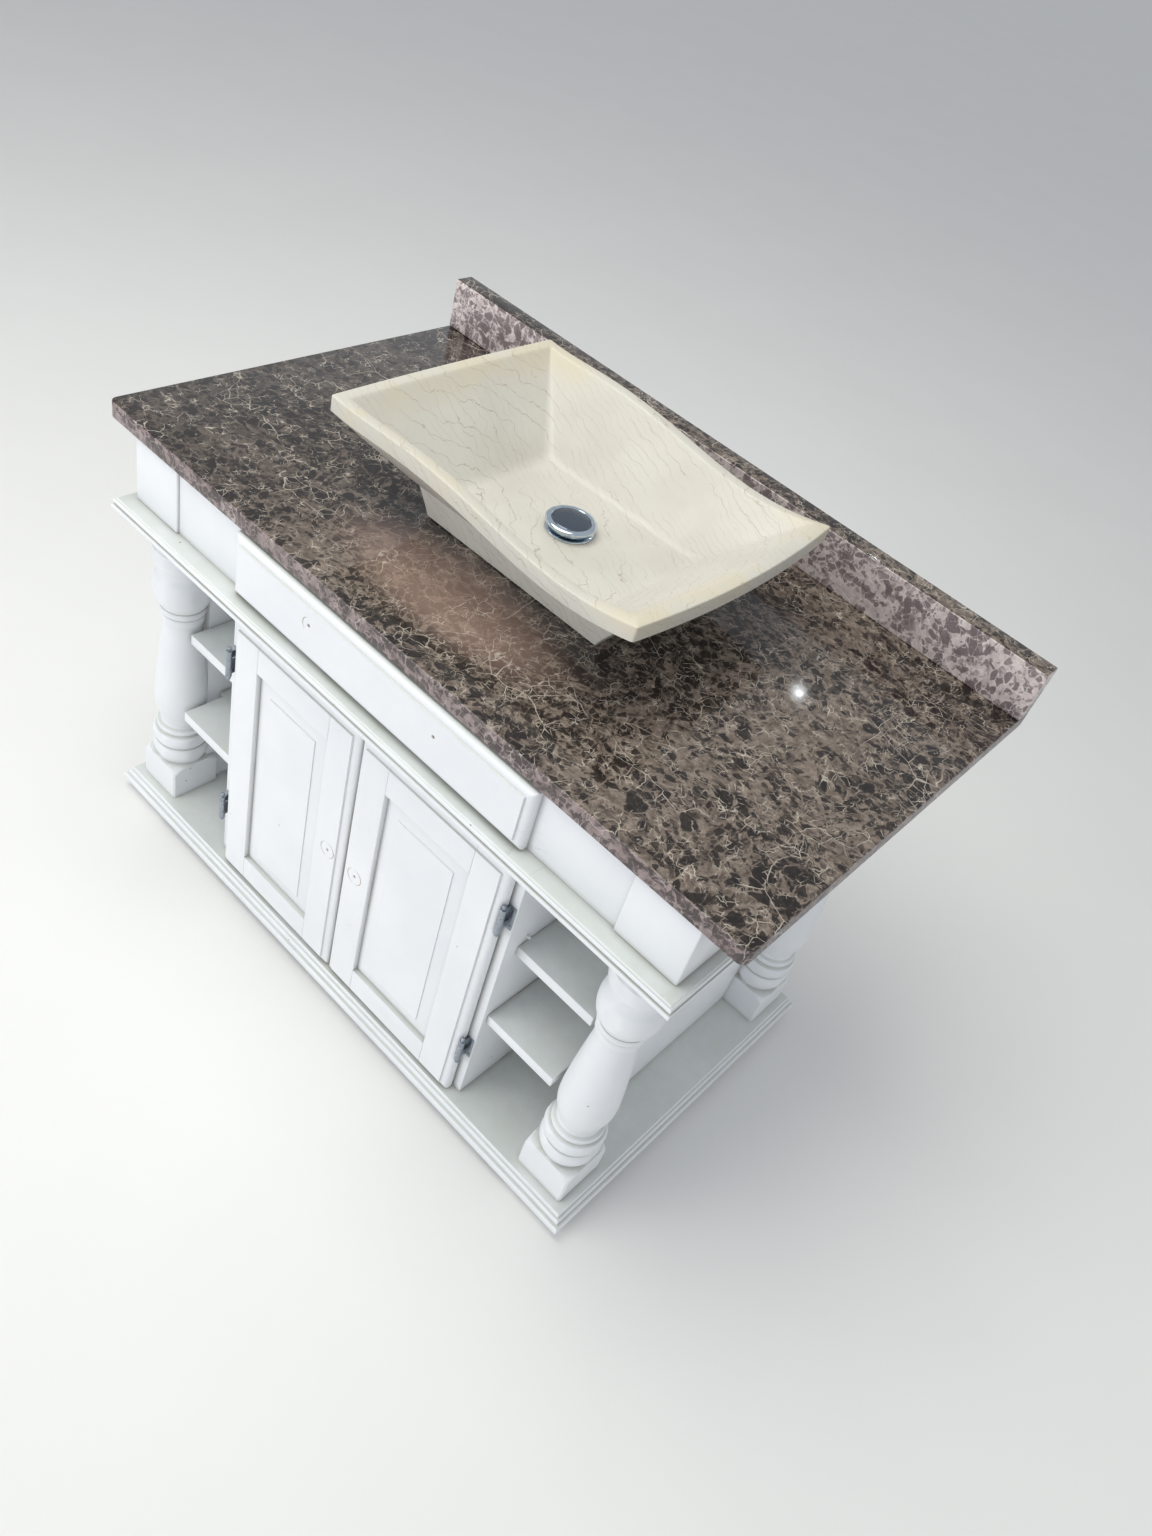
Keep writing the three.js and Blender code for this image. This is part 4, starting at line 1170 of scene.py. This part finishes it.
def add_plain_pieces():
    """Square-edged boards and posts with their edges eased; the scribed side panels keep their mesh."""
    eases = {
        "post_": 2.4 * MM,
        "foot_": 2.0 * MM,
        "shelf_": 1.2 * MM,
        "apron_": 0.8 * MM,
        "cabinet_side_": 1.2 * MM,
        "back_panel": 0.6 * MM,
    }
    for node in frame["nodes"]:
        for prefix, radius in eases.items():
            if node.startswith(prefix):
                eased_copy(node, radius, "paint")
    for node in ("drawer_side_left", "drawer_side_right", "drawer_back", "drawer_bottom"):
        eased_copy(node, 0.8 * MM, "timber")
    for side in BACKWARDS:
        eased_copy(f"drawer_guide_{side}", 0.8 * MM, "timber")
        panel = frame["nodes"][f"outer_side_panel_{side}"].data
        panel.materials.clear()
        panel.materials.append(MATERIAL["paint"])


def shelf_pin(name, x, y, z, sign):
    """A short peg that stands out of the cabinet's side wall."""
    loops = []
    for radius, along in ((2.4, -0.5), (2.4, 5.5), (2.1, 6.5), (1.2, 7.0)):
        turn = [2 * math.pi * i / 20 for i in range(20)]
        out = x + sign * along * MM
        reach = radius * MM
        loops.append([(out, y + reach * math.cos(a), z + reach * math.sin(a)) for a in turn])
    place_piece(name, loft(loops), "paint", "root")


def add_shelf_pins():
    """A spare peg above the front of each upper shelf, and pegs under every shelf."""
    for side, sign in BACKWARDS.items():
        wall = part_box(f"cabinet_side_{side}")
        face = wall[1].x if sign > 0 else wall[0].x
        for level in ("upper", "lower"):
            low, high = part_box(f"shelf_{level}_{side}")
            for place, y in (("front", low.y + 40 * MM), ("back", high.y - 40 * MM)):
                shelf_pin(f"shelf_pin_{level}_{place}_{side}", face, y, low.z - 2.8 * MM, sign)
        low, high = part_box(f"shelf_upper_{side}")
        shelf_pin(f"shelf_pin_spare_{side}", face, low.y + 14 * MM, high.z + 14 * MM, sign)


# ---------------------------------------------------------------- everything

add_camera()
add_studio()
add_floor()
add_boards()
for row in ("front", "back"):
    for side in BACKWARDS:
        add_column(f"column_{row}_{side}")
add_plain_pieces()
add_doors()
add_drawer_front()
add_hinges()
add_shelf_pins()
add_stone()
add_basin()
add_waste()
